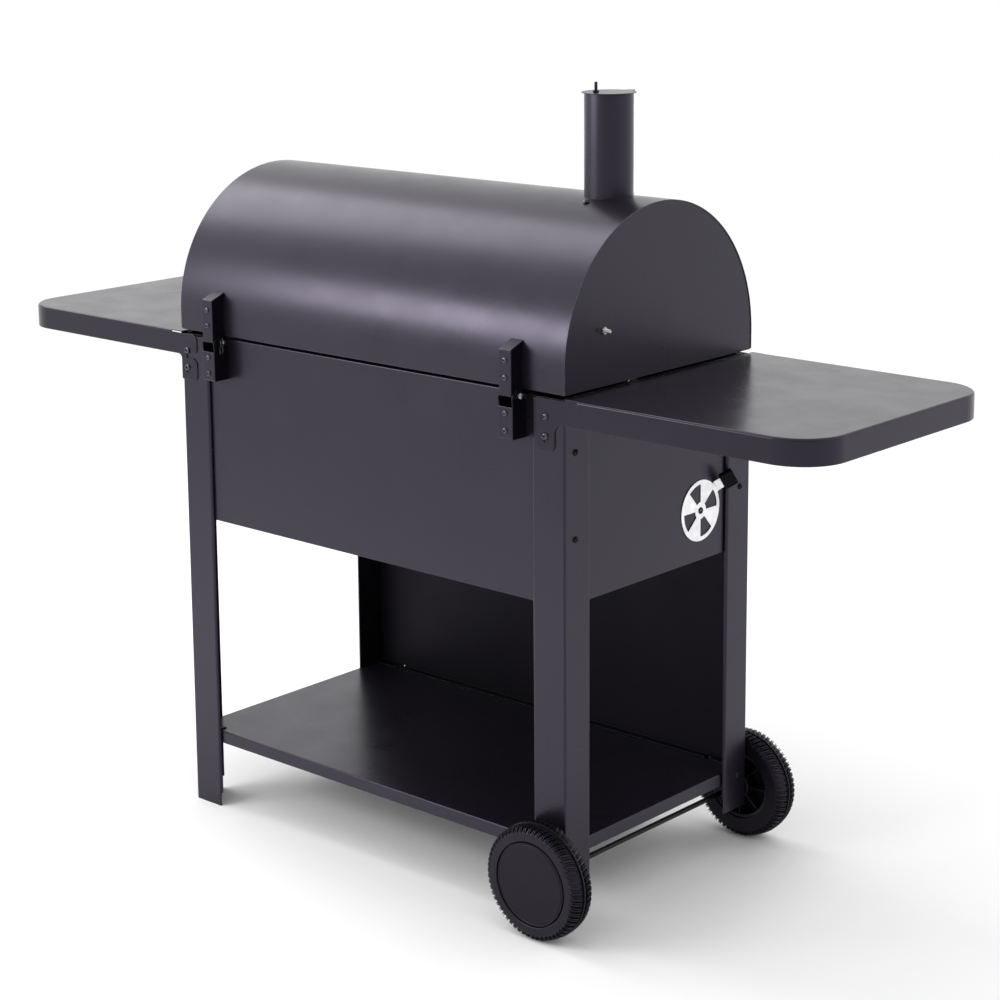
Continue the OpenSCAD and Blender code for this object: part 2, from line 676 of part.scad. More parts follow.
// ---- warming rack and its links ----
module warming_rack() {
    wire = 3;
    y1 = stud_y + 8;
    y0 = support_y - 40;
    top = stud_z + 8;
    eye = 7;
    color([0.60, 0.60, 0.61]) {
        // hangers at both ends
        both_ends() difference() {
            union() {
                box_at([rack_x - 3, y0, top - 6], [rack_x, y1, top]);
                slab_yz(rack_x - 3, 3) {
                    translate([stud_y, stud_z]) circle(r = eye);
                    translate([support_y, support_z]) circle(r = eye);
                    translate([support_y - eye, support_z]) square([2 * eye, top - support_z - 1]);
                }
            }
            along_x(stud_r + slack, 20, [rack_x - 10, stud_y, stud_z]);
        }
        // support pins
        both_ends() along_x(2.5, link_x - rack_x + 5, [rack_x - 2, support_y, support_z]);
        // wires
        for (y = [y0 + 2, (y0 + y1) / 2, y1 - 2])
            box_at([-rack_x + 1, y - wire, top - 4], [rack_x - 1, y + wire, top - 1]);
        for (k = [1 : 39]) {
            x = -rack_x + k * 2 * rack_x / 40;
            box_at([x - wire / 2, y0, top - 3], [x + wire / 2, y1, top]);
        }
    }
}
module rack_link() {
    eye = 7;
    len_y = link_pin_y - support_y;
    len_z = support_z - link_pin_z;
    color([0.60, 0.60, 0.61]) difference() {
        slab_yz(link_x - link_t, link_t) union() {
            translate([link_pin_y, link_pin_z]) circle(r = eye);
            translate([support_y, support_z]) circle(r = eye);
            translate([link_pin_y, link_pin_z]) rotate([0, 0, 180 - atan2(len_z, len_y)])
                translate([0, -eye + 1]) square([norm([len_y, len_z]), 2 * eye - 2]);
        }
        along_x(shaft_r + slack, 20, [link_x - 10, link_pin_y, link_pin_z]);
        along_x(2.5 + 0.5, 20, [link_x - 10, support_y, support_z]);
    }
}
module rack_link_wheel_side() { scale([-1, 1, 1]) rack_link(); }
module rack_link_foot_side() { rack_link(); }
module rack_link_pins() {
    color([0.45, 0.45, 0.46]) both_ends() {
        along_x(shaft_r, 14, [link_x - link_t - 3, link_pin_y, link_pin_z]);
        along_x(5.5, 2, [link_x - link_t - 2.3, link_pin_y, link_pin_z]);
        along_x(5.5, 2, [px + 0.05, link_pin_y, link_pin_z]);
        along_x(5.5, 2.2, [link_x + 0.3, link_pin_y, link_pin_z]);
    }
}

// ---- air vent ----
// local X points to the front, local Y up and local Z away from the panel
module vent_frame() { translate([vent_x, vent_y, vent_z]) rotate([90, 0, -90]) children(); }
// the bent end of the disc's tongue, with X along it
module on_tongue() {
    rotate([0, 0, grip_angle]) translate([grip_bend_r, 0, 0.9]) rotate([0, -grip_bend, 0]) children();
}
module vent_disc() {
    thick = 1.2;
    tongue_w = 20;
    start = -0.4;
    color([0.85, 0.85, 0.86]) vent_frame() {
        translate([0, 0, 0.3]) linear_extrude(thick) difference() {
            union() {
                circle(d = vent_dia);
                rotate(grip_angle) translate([vent_dia / 2 - 8, -tongue_w / 2])
                    square([grip_bend_r - vent_dia / 2 + 8, tongue_w]);
            }
            vent_sectors(0);
            circle(r = vent_rivet_r + slack);
        }
        on_tongue() translate([start, -tongue_w / 2 + 0.5, -thick / 2 + 0.1])
            cube([21 - start, tongue_w - 1, thick - 0.2]);
    }
}
module vent_knob() {
    start = 10;
    slot = 0.05;
    color([0.06, 0.06, 0.06]) vent_frame() on_tongue() difference() {
        translate([start, -grip_size[1] / 2, -grip_size[2] / 2]) cube(grip_size);
        translate([start - 1, -9.5 - slot, -0.5 - slot]) cube([12.8, 19 + 2 * slot, 1 + 2 * slot]);
    }
}
module vent_rivet() {
    color([0.08, 0.08, 0.08]) vent_frame() {
        translate([0, 0, 1.55]) cylinder(h = 1.6, r1 = 5.2, r2 = 4.4);
        translate([0, 0, -4]) cylinder(h = 6, r = vent_rivet_r);
        translate([0, 0, -3.6]) cylinder(h = 2, r = 5.5);
    }
}

// ---- wheels ----
module axle() {
    end_y = wheel_y + wheel_w - 8;
    color([0.55, 0.55, 0.56]) along_y(axle_r, 2 * end_y, [axle_x, -end_y, axle_z]);
}
module both_wheels() { for (s = [-1, 1]) scale([1, s, 1]) children(); }
module axle_spacers() {
    color([0.45, 0.45, 0.46]) both_wheels() difference() {
        along_y(8, wheel_y - hy - 0.4, [axle_x, hy + 0.2, axle_z]);
        along_y(axle_r + slack, 30, [axle_x, hy - 5, axle_z]);
    }
}
module axle_push_nuts() {
    y = wheel_y + 30.2;
    color([0.65, 0.65, 0.66]) both_wheels() difference() {
        along_y(8.5, 1.2, [axle_x, y, axle_z]);
        along_y(axle_r + slack, 30, [axle_x, y - 5, axle_z]);
    }
}
module wheel() {
    // profile in radius and distance from the inner face
    r1 = wheel_dia / 2;
    edge = 79.5;
    w = wheel_w;
    color([0.09, 0.09, 0.09]) translate([axle_x, wheel_y, axle_z]) rotate([-90, 0, 0])
        rotate_extrude($fn = 96) polygon([[axle_r + slack, 0], [15, 0], [15, 24], [67, 26],
            [69, 3], [73, 0], [edge, 0], [83.5, 6], [r1, w / 2 - 3], [r1, w / 2 + 3],
            [83.5, w - 6], [edge, w], [63.5, w], [62.5, w - 4], [59.5, w - 5], [57.5, 31],
            [15, 30], [axle_r + slack, 30]]);
}
module wheel_rear() { wheel(); }
module wheel_front() { scale([1, -1, 1]) wheel(); }
module wheel_cap() {
    w = wheel_w;
    color([0.13, 0.12, 0.15]) translate([axle_x, wheel_y, axle_z]) rotate([-90, 0, 0]) difference() {
        translate([0, 0, w - 4]) cylinder(h = 3.4, r = 61.5);
        translate([0, 0, w - 4.5]) cylinder(h = 2, r = 58.5);
    }
}
module wheel_cap_rear() { wheel_cap(); }
module wheel_cap_front() { scale([1, -1, 1]) wheel_cap(); }

leg_front_wheel_end();
leg_rear_wheel_end();
leg_front_foot_end();
leg_rear_foot_end();
bottom_shelf();
lower_front_panel();
box_front_panel();
box_rear_panel();
box_end_panel_vent();
box_end_panel_plain();
firebox_floor();
grate_rails();
ash_pan();
charcoal_grate();
cooking_grate_left();
cooking_grate_right();
lid_rest_pads();
table_wheel_end();
table_foot_end();
table_bolts();
table_nuts();
leg_screws();
leg_screw_nuts();
hinge_box_leaves();
hinge_box_screws();
hinge_pins();
hinge_clips();
axle();
axle_spacers();
axle_push_nuts();
rack_link_pins();
lid_shell();
lid_end_wheel_side();
lid_end_foot_side();
hinge_lid_leaves();
hinge_lid_screws();
lid_handle_grip();
lid_handle_brackets();
lid_handle_screws();
thermometer_case();
thermometer_lens();
thermometer_nut();
chimney_tube();
chimney_flange();
chimney_screws();
damper_post();
rack_studs();
chimney_cap();
warming_rack();
rack_link_wheel_side();
rack_link_foot_side();
vent_disc();
vent_knob();
vent_rivet();
wheel_front();
wheel_rear();
wheel_cap_front();
wheel_cap_rear();
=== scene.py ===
"""Looks of the barrel-lid charcoal smoker cart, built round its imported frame.

Lengths are in millimetres in the CAD frame: +X foot end, -X wheel end, -Y front, +Y hinges, +Z up.
MM scales them to metres when a mesh is made.
"""
import json
import math

import bmesh
import bpy
from mathutils import Matrix, Vector


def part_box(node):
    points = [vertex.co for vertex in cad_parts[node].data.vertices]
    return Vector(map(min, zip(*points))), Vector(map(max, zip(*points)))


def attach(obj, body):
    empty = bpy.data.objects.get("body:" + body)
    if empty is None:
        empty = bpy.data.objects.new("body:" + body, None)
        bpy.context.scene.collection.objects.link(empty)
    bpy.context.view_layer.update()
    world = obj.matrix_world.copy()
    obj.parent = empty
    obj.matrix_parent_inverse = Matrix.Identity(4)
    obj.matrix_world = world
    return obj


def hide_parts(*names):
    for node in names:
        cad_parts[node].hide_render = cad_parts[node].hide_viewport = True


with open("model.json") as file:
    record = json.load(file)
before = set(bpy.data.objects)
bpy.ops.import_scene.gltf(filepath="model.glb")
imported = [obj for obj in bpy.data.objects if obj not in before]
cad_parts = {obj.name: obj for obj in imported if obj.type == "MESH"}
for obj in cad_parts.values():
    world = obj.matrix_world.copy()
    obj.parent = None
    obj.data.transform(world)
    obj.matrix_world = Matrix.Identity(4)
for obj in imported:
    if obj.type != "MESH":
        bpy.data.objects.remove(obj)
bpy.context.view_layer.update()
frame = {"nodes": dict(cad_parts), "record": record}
MM = 0.001
RECORD = frame["record"]
BODY = {n: b for b, nodes in RECORD["behaviour"]["bodies"].items() for n in nodes}
SLOT = {s["node"]: s["material_slot"] for s in RECORD["subparts"]}
DG = bpy.context.evaluated_depsgraph_get


# ---- driving dimensions, from the frame ----
def span(node):
    """Lowest and highest corner of a CAD node, in millimetres."""
    low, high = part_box(node)
    return low / MM, high / MM


WELD = 0.02
SHEET = 1.5
LID_LOW, LID_HIGH = span("lid_shell")
HX, HY, LID_Z = LID_HIGH.x, LID_HIGH.y, LID_LOW.z
CROWN_Z = LID_HIGH.z - HY
PANEL_LOW, PANEL_HIGH = span("box_rear_panel")
PX, PY = PANEL_HIGH.x, PANEL_HIGH.y
BOX_Z, RIM_Z = PANEL_LOW.z, PANEL_HIGH.z
LIP = HX - PX
SHELF_HIGH = span("bottom_shelf")[1]
TABLE_HIGH = span("table_foot_end")[1]
TABLE_TOP = TABLE_HIGH.z
TABLE_EDGE = 37
TABLE_R = 70
LEG_W, LEG_D, LEG_T = 60, 57, 2
LEG_TOP = RIM_Z - 4
WHEEL_LEG_Z = span("leg_rear_wheel_end")[0].z
WHEEL_LOW, WHEEL_HIGH = span("wheel_rear")
WHEEL_R = (WHEEL_HIGH.z - WHEEL_LOW.z) / 2
WHEEL_W = WHEEL_HIGH.y - WHEEL_LOW.y
WHEEL_Y = WHEEL_LOW.y
AXLE_X = (WHEEL_LOW.x + WHEEL_HIGH.x) / 2
EAR_BOLT_Z = (761, 733)
EAR_WIDE_X, EAR_NARROW_X = 366, 386
LEG_SCREW_Y, LEG_SCREW_Z = 196, (119, 584, 710)
PIN_Y, PIN_Z = 228.5, 786
HINGE_X, HINGE_W, HINGE_T = 311, 27.4, 2
HINGE_Y = 243.5
HINGE_BOX_Z, HINGE_LID_Z = (761.5, 736.5), (837.5, 812.5)
EAR_R = 11
CHIMNEY_X, CHIMNEY_R = -300, 36
CHIMNEY_TOP = span("chimney_tube")[1].z
POST_X, POST_Y = -294, 22.5
CAP_R = 40
VENT_Y, VENT_Z = -102, 564.5
VENT_R = 47
GRIP_ANGLE, GRIP_BEND, GRIP_BEND_R = 38, 38, 50
STUD_Y, STUD_Z = 134, 874
SUPPORT_Y, SUPPORT_Z = STUD_Y - 150, STUD_Z - 20
LINK_Y, LINK_Z = PIN_Y - 150, PIN_Z - 20
RACK_X, LINK_X = HX - 17, HX - 11.5
HANDLE_ANGLE, HANDLE_OFF, HANDLE_HALF = 14, 50, 190
GAUGE_ANGLE = 44


# ---- materials ----
class Nodes:
    """A small builder for one material's node tree."""

    def __init__(self, name):
        self.material = bpy.data.materials.new(name)
        self.material.use_nodes = True
        self.tree = self.material.node_tree
        self.tree.nodes.clear()
        self.output = self.add("ShaderNodeOutputMaterial")
        self.shader = self.add("ShaderNodeBsdfPrincipled")
        self.link(self.shader, 0, self.output, "Surface")
        self.place = self.add("ShaderNodeTexCoord")

    def add(self, kind, **values):
        node = self.tree.nodes.new(kind)
        for key, value in values.items():
            setattr(node, key, value)
        return node

    def link(self, a, out, b, into):
        self.tree.links.new(a.outputs[out], b.inputs[into])

    def put(self, node, **values):
        for key, value in values.items():
            node.inputs[key.replace("_", " ")].default_value = value

    def set(self, **values):
        self.put(self.shader, **values)

    def noise(self, scale, detail=3, rough=0.5, stretch=(1, 1, 1)):
        """Noise in object space: scale is in features per metre."""
        mapping = self.add("ShaderNodeMapping")
        self.put(mapping, Scale=stretch)
        self.link(self.place, "Object", mapping, 0)
        noise = self.add("ShaderNodeTexNoise")
        self.put(noise, Scale=scale, Detail=detail, Roughness=rough)
        self.link(mapping, 0, noise, "Vector")
        return noise

    def spread(self, source, low, high, start=0.3, stop=0.7, out=0):
        """Maps a noise, or any factor, to a range of values."""
        node = self.add("ShaderNodeMapRange")
        self.put(node, From_Min=start, From_Max=stop, To_Min=low, To_Max=high)
        self.link(source, out, node, 0)
        return node

    def mix(self, factor, a, b):
        """Mixes two colours, each an RGB triple or a node with a colour output."""
        node = self.add("ShaderNodeMix", data_type="RGBA")
        if isinstance(factor, float):
            node.inputs[0].default_value = factor
        else:
            self.link(factor, 0, node, 0)
        for value, socket in ((a, 6), (b, 7)):
            if isinstance(value, tuple):
                node.inputs[socket].default_value = (*value, 1)
            else:
                self.tree.links.new(value.outputs[2], node.inputs[socket])
        return node

    def edges(self, radius, strength):
        """A factor that is high along the piece's convex edges, broken up by noise: it marks rubbed paint
        and also a painted highlight where the edges catch light.
        """
        bevel = self.add("ShaderNodeBevel", samples=6)
        self.put(bevel, Radius=radius * MM)
        geometry = self.add("ShaderNodeNewGeometry")
        dot = self.add("ShaderNodeVectorMath", operation="DOT_PRODUCT")
        self.link(bevel, 0, dot, 0)
        self.link(geometry, "Normal", dot, 1)
        wear_and_sheen_mask = self.spread(dot, 1.0, 0.0, 0.75, 0.985, out="Value")
        patches = self.spread(self.noise(90, 4), 0.35 * strength, strength, 0.4, 0.62)
        product = self.add("ShaderNodeMath", operation="MULTIPLY")
        self.link(wear_and_sheen_mask, 0, product, 0)
        self.link(patches, 0, product, 1)
        return product

    def bump(self, source, distance, strength, before=None):
        node = self.add("ShaderNodeBump")
        self.put(node, Strength=strength, Distance=distance * MM)
        self.link(source, 0, node, "Height")
        if before:
            self.link(before, 0, node, "Normal")
        self.link(node, 0, self.shader, "Normal")
        return node

    def colour(self, node):
        self.tree.links.new(node.outputs[2], self.shader.inputs["Base Color"])


COAT_TINT = (0.82, 0.73, 1.0, 1.0)


def shade(colour, factor):
    return tuple(min(1.0, c * factor) for c in colour)


def coat(name, colour, rough=0.30, edge=(0.20, 0.19, 0.22), wear_and_sheen=0.5, grain=0.1, specular=0.50):
    """Satin powder coat over steel: fine orange peel, faint mottling, and lighter edges that are partly
    rubbed paint and partly a painted highlight.
    """
    n = Nodes(name)
    n.set(IOR=1.5, Specular_IOR_Level=specular, Specular_Tint=COAT_TINT)
    base = n.mix(n.spread(n.noise(7, 4), 0.0, 1.0), shade(colour, 0.90), shade(colour, 1.10))
    dust = n.mix(n.spread(n.noise(260, 5, 0.65), 0.0, 0.5, 0.55, 0.8), base, shade(colour, 1.35))
    # the edge colour is partly rubbed paint and partly a painted highlight along the edges
    n.colour(n.mix(n.edges(0.7, wear_and_sheen), dust, edge))
    n.link(n.spread(n.noise(16, 4), rough - 0.035, rough + 0.035), 0, n.shader, "Roughness")
    waves = n.bump(n.noise(9, 2), 1.0, 0.035)
    n.bump(n.noise(1100, 2, 0.4), 0.05, grain, waves)
    return n.material


def steel(name, colour, rough=0.3, stretch=(1, 1, 1), spots=0.5, edge=(0.85, 0.85, 0.86)):
    """Plated or brushed steel: streaks, dull spots and bright edges that are partly rubbed metal and partly
    painted glints.
    """
    n = Nodes(name)
    n.set(Metallic=1.0)
    base = n.mix(n.spread(n.noise(60, 5, 0.6, stretch), 0.0, 1.0), shade(colour, 0.82), shade(colour, 1.08))
    dull = n.mix(n.spread(n.noise(420, 4), 0.0, spots, 0.5, 0.75), base, shade(colour, 0.6))
    # the bright edge colour is partly rubbed metal and partly painted glints
    n.colour(n.mix(n.edges(0.35, 0.6), dull, edge))
    n.link(n.spread(n.noise(130, 4, 0.6, stretch), rough - 0.08, rough + 0.1), 0, n.shader, "Roughness")
    n.bump(n.noise(700, 3, 0.5, stretch), 0.04, 0.12)
    return n.material


def plastic(name, colour, rough=0.5, grain=0.25, scale=900, edge=(0.10, 0.10, 0.11), specular=0.3):
    """Moulded plastic or rubber: fine pebble grain and lighter edges that are partly rubbed and partly a
    painted highlight.
    """
    n = Nodes(name)
    n.set(IOR=1.48, Specular_IOR_Level=specular, Specular_Tint=COAT_TINT)
    base = n.mix(n.spread(n.noise(25, 4), 0.0, 1.0), shade(colour, 0.85), shade(colour, 1.15))
    # the lighter edge colour is partly rubbing and partly a painted highlight
    n.colour(n.mix(n.edges(0.5, 0.45), base, edge))
    n.link(n.spread(n.noise(45, 4), rough - 0.06, rough + 0.08), 0, n.shader, "Roughness")
    n.bump(n.noise(scale, 3, 0.55), 0.08, grain)
    return n.material


def glass(name):
    n = Nodes(name)
    n.set(IOR=1.5, Transmission_Weight=1.0)
    n.colour(n.mix(n.spread(n.noise(40), 0.0, 1.0), (0.97, 0.98, 0.98), (1.0, 1.0, 1.0)))
    n.link(n.spread(n.noise(80), 0.0, 0.05), 0, n.shader, "Roughness")
    n.bump(n.noise(30), 0.02, 0.05)
    return n.material


def dial_paint(name, colour):
    n = Nodes(name)
    n.colour(n.mix(n.spread(n.noise(60), 0.0, 1.0), shade(colour, 0.92), colour))
    n.link(n.spread(n.noise(90), 0.4, 0.55), 0, n.shader, "Roughness")
    n.bump(n.noise(600), 0.02, 0.1)
    return n.material


GRAPHITE = (0.0070, 0.0058, 0.0092)
FINISH = {
    "powder_coat": coat("powder_coat", GRAPHITE, specular=0.46),
    "table_coat": coat("table_coat", GRAPHITE, rough=0.25, specular=0.40),
    # the lid's light edge colour is mostly a painted highlight for the thin bright rim at its ends
    "lid_coat": coat("lid_coat", GRAPHITE, edge=(0.42, 0.40, 0.46), wear_and_sheen=0.8),
    "cap_coat": coat("cap_coat", GRAPHITE, specular=0.46),
    "hinge_coat": coat("hinge_coat", shade(GRAPHITE, 0.7), rough=0.28, wear_and_sheen=0.7, grain=0.2, specular=0.46),
    "inner_coat": coat("inner_coat", (0.006, 0.0055, 0.007), rough=0.5, grain=0.2, specular=0.3),
    # a darker copy of the coat: painted shade, used on the hinge flanks and the shelf's corner ears
    "painted_shade_coat": coat("painted_shade_coat", shade(GRAPHITE, 0.4), rough=0.36, wear_and_sheen=0.4, specular=0.16),
    # a duller copy of the coat whose darker colour is painted shade for the body's dim inside
    "shaded_matt_coat": coat("shaded_matt_coat", (0.0035, 0.003, 0.004), rough=0.45, specular=0.13),
    "raw_steel": steel("raw_steel", (0.42, 0.42, 0.43), 0.42, (1, 12, 1)),
    "grate_enamel": coat("grate_enamel", (0.008, 0.008, 0.009), edge=(0.05, 0.05, 0.05), specular=0.5),
    # the heads' lighter edge colour gives painted glints
    "fastener_steel": steel("fastener_steel", (0.085, 0.082, 0.092), 0.24, edge=(0.30, 0.29, 0.32)),
    "pin_steel": steel("pin_steel", (0.30, 0.30, 0.31), 0.25),
    "zinc_steel": steel("zinc_steel", (0.62, 0.62, 0.61), 0.28),
    "rack_chrome": steel("rack_chrome", (0.62, 0.62, 0.63), 0.16),
    "vent_chrome": steel("vent_chrome", (0.90, 0.90, 0.92), 0.42, spots=0.12, edge=(1.0, 1.0, 1.0)),
    "knob_plastic": plastic("knob_plastic", (0.002, 0.002, 0.0025), 0.40, specular=0.10),
    "rivet_black": coat("rivet_black", (0.004, 0.004, 0.0045), rough=0.35, specular=0.25),
    "grip_steel": steel("grip_steel", (0.58, 0.58, 0.59), 0.24, (0.1, 8, 8)),
    "gauge_steel": steel("gauge_steel", (0.60, 0.60, 0.61), 0.2),
    "gauge_glass": glass("gauge_glass"),
    "pad_rubber": plastic("pad_rubber", (0.008, 0.008, 0.008), 0.75, 0.5),
    "wheel_plastic": plastic("wheel_plastic", (0.0040, 0.0034, 0.0050), 0.36, 0.2, specular=0.32),
    "wheel_cap_plastic": plastic("wheel_cap_plastic", (0.0045, 0.0040, 0.0056), 0.42, 0.12, 1500,
                                 specular=0.24),
}
DIAL_WHITE = dial_paint("dial_white", (0.80, 0.80, 0.77))
DIAL_BLACK = dial_paint("dial_black", (0.02, 0.02, 0.02))


# ---- mesh tools ----
def shift(x=0, y=0, z=0):
    return Matrix.Translation((x, y, z))


def turn(degrees, axis):
    return Matrix.Rotation(math.radians(degrees), 4, axis)


def basis(x, y, z, at):
    """A matrix whose local axes are the given directions, with its origin at a point."""
    m = Matrix((x, y, z)).transposed().to_4x4()
    m.translation = Vector(at)
    return m


def polar(r, angle, z):
    return (r * math.cos(angle), r * math.sin(angle), z)


def arc(cx, cy, r, start, stop, steps):
    angles = [math.radians(start + (stop - start) * k / steps) for k in range(steps + 1)]
    return [(cx + r * math.cos(a), cy + r * math.sin(a)) for a in angles]


def rounded(points, radius, closed=True, steps=5):
    """An outline with its corners rounded: radius is one number or one for each point."""
    count = len(points)
    radii = radius if isinstance(radius, (list, tuple)) else [radius] * count
    out = []
    for k, (point, r) in enumerate(zip(points, radii)):
        p = Vector(point).to_2d()
        if r <= 0 or (not closed and k in (0, count - 1)):
            out.append(tuple(p))
            continue
        a = (Vector(points[k - 1]).to_2d() - p).normalized()
        b = (Vector(points[(k + 1) % count]).to_2d() - p).normalized()
        half = a.angle(b) / 2
        reach = r / math.tan(half)
        centre = p + (a + b).normalized() * (r / math.sin(half))
        start, stop = p + a * reach - centre, p + b * reach - centre
        sweep = start.angle_signed(stop)
        for step in range(steps + 1):
            turned = start.copy()
            turned.rotate(Matrix.Rotation(-sweep * step / steps, 2))
            out.append(tuple(centre + turned))
    return out


class Mesh:
    """Vertices and faces gathered in millimetres, from one or several shapes."""

    def __init__(self):
        self.verts = []
        self.faces = []

    def add(self, verts, faces, place=None):
        base = len(self.verts)
        for v in verts:
            v = Vector(v).to_3d() if len(v) == 2 else Vector(v)
            self.verts.append(place @ v if place else v)
        self.faces += [tuple(base + i for i in f) for f in faces]
        return self

    def join(self, other, place=None):
        return self.add(other.verts, other.faces, place)

    def at(self, place):
        """A copy at a place."""
        return Mesh().join(self, place)

    def rings(self, rings, place=None, closed=True, caps=(True, True)):
        """Skins a list of rings that have the same number of points."""
        n = len(rings[0])
        faces = []
        for j in range(len(rings) - 1):
            for i in range(n if closed else n - 1):
                a, b = j * n + i, j * n + (i + 1) % n
                faces.append((a, b, b + n, a + n))
        if caps[0]:
            faces.append(tuple(reversed(range(n))))
        if caps[1]:
            faces.append(tuple(range((len(rings) - 1) * n, len(rings) * n)))
        return self.add([p for ring in rings for p in ring], faces, place)


def lathe(profile, segments=48, closed=False, radius=None):
    """A solid of revolution about +Z. profile lists (radius, z); radius(r, z, angle) may vary it.
    With closed, the profile is a loop, as for a tube; without it, both ends are capped."""
    m = Mesh()
    rows = profile + profile[:1] if closed else profile
    rings = []
    for r, z in rows:
        ring = []
        for k in range(segments):
            a = 2 * math.pi * k / segments
            ring.append(polar(radius(r, z, a) if radius else r, a, z))
        rings.append(ring)
    m.rings(rings, caps=(not closed, not closed))
    return m


def slab(outlines, thick, bevel=0.3, place=None):
    """A plate from flat outlines, the first outer and the rest holes, centred on local Z."""
    curve = bpy.data.curves.new("plate", "CURVE")
    curve.dimensions = "2D"
    curve.fill_mode = "BOTH"
    curve.extrude = max(0.0, thick / 2 - bevel)
    curve.bevel_depth = bevel
    curve.offset = -bevel
    curve.bevel_resolution = 1 if bevel else 0
    return from_curve(curve, outlines, True, place)


def rods(paths, r, sides=3, cyclic=False):
    """Round wires of one radius along lists of points."""
    curve = bpy.data.curves.new("rods", "CURVE")
    curve.dimensions = "3D"
    curve.bevel_depth = r
    curve.bevel_resolution = sides
    curve.use_fill_caps = True
    return from_curve(curve, paths, cyclic)


def placed(name, data):
    """A new object in the scene."""
    obj = bpy.data.objects.new(name, data)
    bpy.context.scene.collection.objects.link(obj)
    return obj


def from_curve(curve, lines, cyclic, place=None):
    """The mesh of a curve's set form along some lines of points."""
    for points in lines:
        spline = curve.splines.new("POLY")
        spline.points.add(len(points) - 1)
        for point, p in zip(spline.points, points):
            point.co = (*Vector(p).to_3d(), 1)
        spline.use_cyclic_u = cyclic
    holder = placed("holder", curve)
    made = bpy.data.meshes.new_from_object(holder.evaluated_get(DG()))
    m = Mesh().add([v.co for v in made.vertices], [tuple(f.vertices) for f in made.polygons], place)
    bpy.data.objects.remove(holder)
    bpy.data.curves.remove(curve)
    bpy.data.meshes.remove(made)
    return m


def folded(profile, stations, keep=None):
    """An open sheet: a flat profile swept through stations along local Z, without the strips that
    keep(a, b, station middle) turns down. The profile lies in local XY."""
    m = Mesh()
    n = len(profile)
    verts = [(p[0], p[1], s) for s in stations for p in profile]
    faces = []
    for j in range(len(stations) - 1):
        for i in range(n - 1):
            if keep and not keep(profile[i], profile[i + 1], (stations[j] + stations[j + 1]) / 2):
                continue
            faces.append((j * n + i, j * n + i + 1, (j + 1) * n + i + 1, (j + 1) * n + i))
    return m.add(verts, faces)


def build(mesh, name):
    """Makes the Blender mesh in metres, welded, with no loose points and its faces turned outwards."""
    data = bpy.data.meshes.new(name)
    data.from_pydata([v * MM for v in mesh.verts], [], mesh.faces)
    bm = bmesh.new()
    bm.from_mesh(data)
    bmesh.ops.remove_doubles(bm, verts=bm.verts, dist=WELD * MM)
    loose = [v for v in bm.verts if not v.link_faces]
    bmesh.ops.delete(bm, geom=loose, context="VERTS")
    bmesh.ops.recalc_face_normals(bm, faces=bm.faces)
    bm.to_mesh(data)
    bm.free()
    return data


def thicken(obj, thick, even=True):
    solid = obj.modifiers.new("sheet", "SOLIDIFY")
    solid.thickness = thick * MM
    solid.offset = 0
    solid.use_even_offset = even


def soften(obj, width, segments, angle):
    edge = obj.modifiers.new("edge", "BEVEL")
    edge.width = width * MM
    edge.segments = segments
    edge.limit_method = "ANGLE"
    edge.angle_limit = math.radians(angle)


def piece(name, mesh, *nodes, sheet=0, even=True, bevel=0, sharp=32, cuts=(), material=None):
    """A visible piece that stands for CAD nodes, on their body and in their material slot.
    sheet gives an open surface its thickness about its middle; cuts are solids taken away."""
    data = build(mesh, name)
    obj = placed(name, data)
    slot = SLOT[nodes[0]]
    data.materials.append(material or FINISH[slot])
    if sheet:
        thicken(obj, sheet, even)
    if bevel:
        soften(obj, bevel, 2, 40)
    cutters = []
    for k, cut in enumerate(cuts):
        cutter = placed("cutter", build(cut, "cutter"))
        boolean = obj.modifiers.new(f"cut{k}", "BOOLEAN")
        boolean.operation = "DIFFERENCE"
        boolean.solver = "EXACT"
        boolean.object = cutter
        cutters.append(cutter)
    if obj.modifiers:
        final = bpy.data.meshes.new_from_object(obj.evaluated_get(DG()))
        obj.modifiers.clear()
        obj.data = final
        bpy.data.meshes.remove(data)
    for cutter in cutters:
        spare = cutter.data
        bpy.data.objects.remove(cutter)
        bpy.data.meshes.remove(spare)
    obj.data.name = name
    obj.data.shade_smooth()
    obj.data.set_sharp_from_angle(angle=math.radians(sharp))
    weighted = obj.modifiers.new("normals", "WEIGHTED_NORMAL")
    weighted.keep_sharp = True
    weighted.weight = 100
    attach(obj, BODY[nodes[0]])
    stood_for = [n for n in nodes if not frame["nodes"][n].hide_render]
    if stood_for:
        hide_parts(*stood_for)
    return obj


# places of flat outlines: local X, Y and Z in the frame
def yz(x):
    return basis((0, 1, 0), (0, 0, 1), (1, 0, 0), (x, 0, 0))


def xz(y):
    return basis((1, 0, 0), (0, 0, 1), (0, -1, 0), (0, y, 0))


FLIP_X = Matrix.Diagonal((-1, 1, 1, 1))
FLIP_Y = Matrix.Diagonal((1, -1, 1, 1))
HALF_TURN = turn(180, "Z")
IDENTITY = Matrix.Identity(4)
BOTH_ENDS = (IDENTITY, FLIP_X)


# ---- fasteners ----
def pan_head(r, h):
    """A domed cross-recess head that sits on z 0."""
    count = 48
    dome = [(r, 0), (r, 0.25 * h), (0.94 * r, 0.55 * h), (0.80 * r, 0.80 * h), (0.62 * r, 0.95 * h)]
    rings = [[polar(rr, 2 * math.pi * k / count, z) for k in range(count)] for rr, z in dome]

    def cross(scale, z):
        ring = []
        for k in range(count):
            a = 2 * math.pi * k / count
            off = abs((a + math.pi / 4) % (math.pi / 2) - math.pi / 4)
            arm = min(0.56 * r, 0.13 * r / max(math.sin(off), 1e-6))
            ring.append(polar(max(arm, 0.2 * r) * scale, a, z))
        return ring

    return Mesh().rings(rings + [cross(1.0, h), cross(0.94, 0.9 * h), cross(0.7, 0.3 * h)])


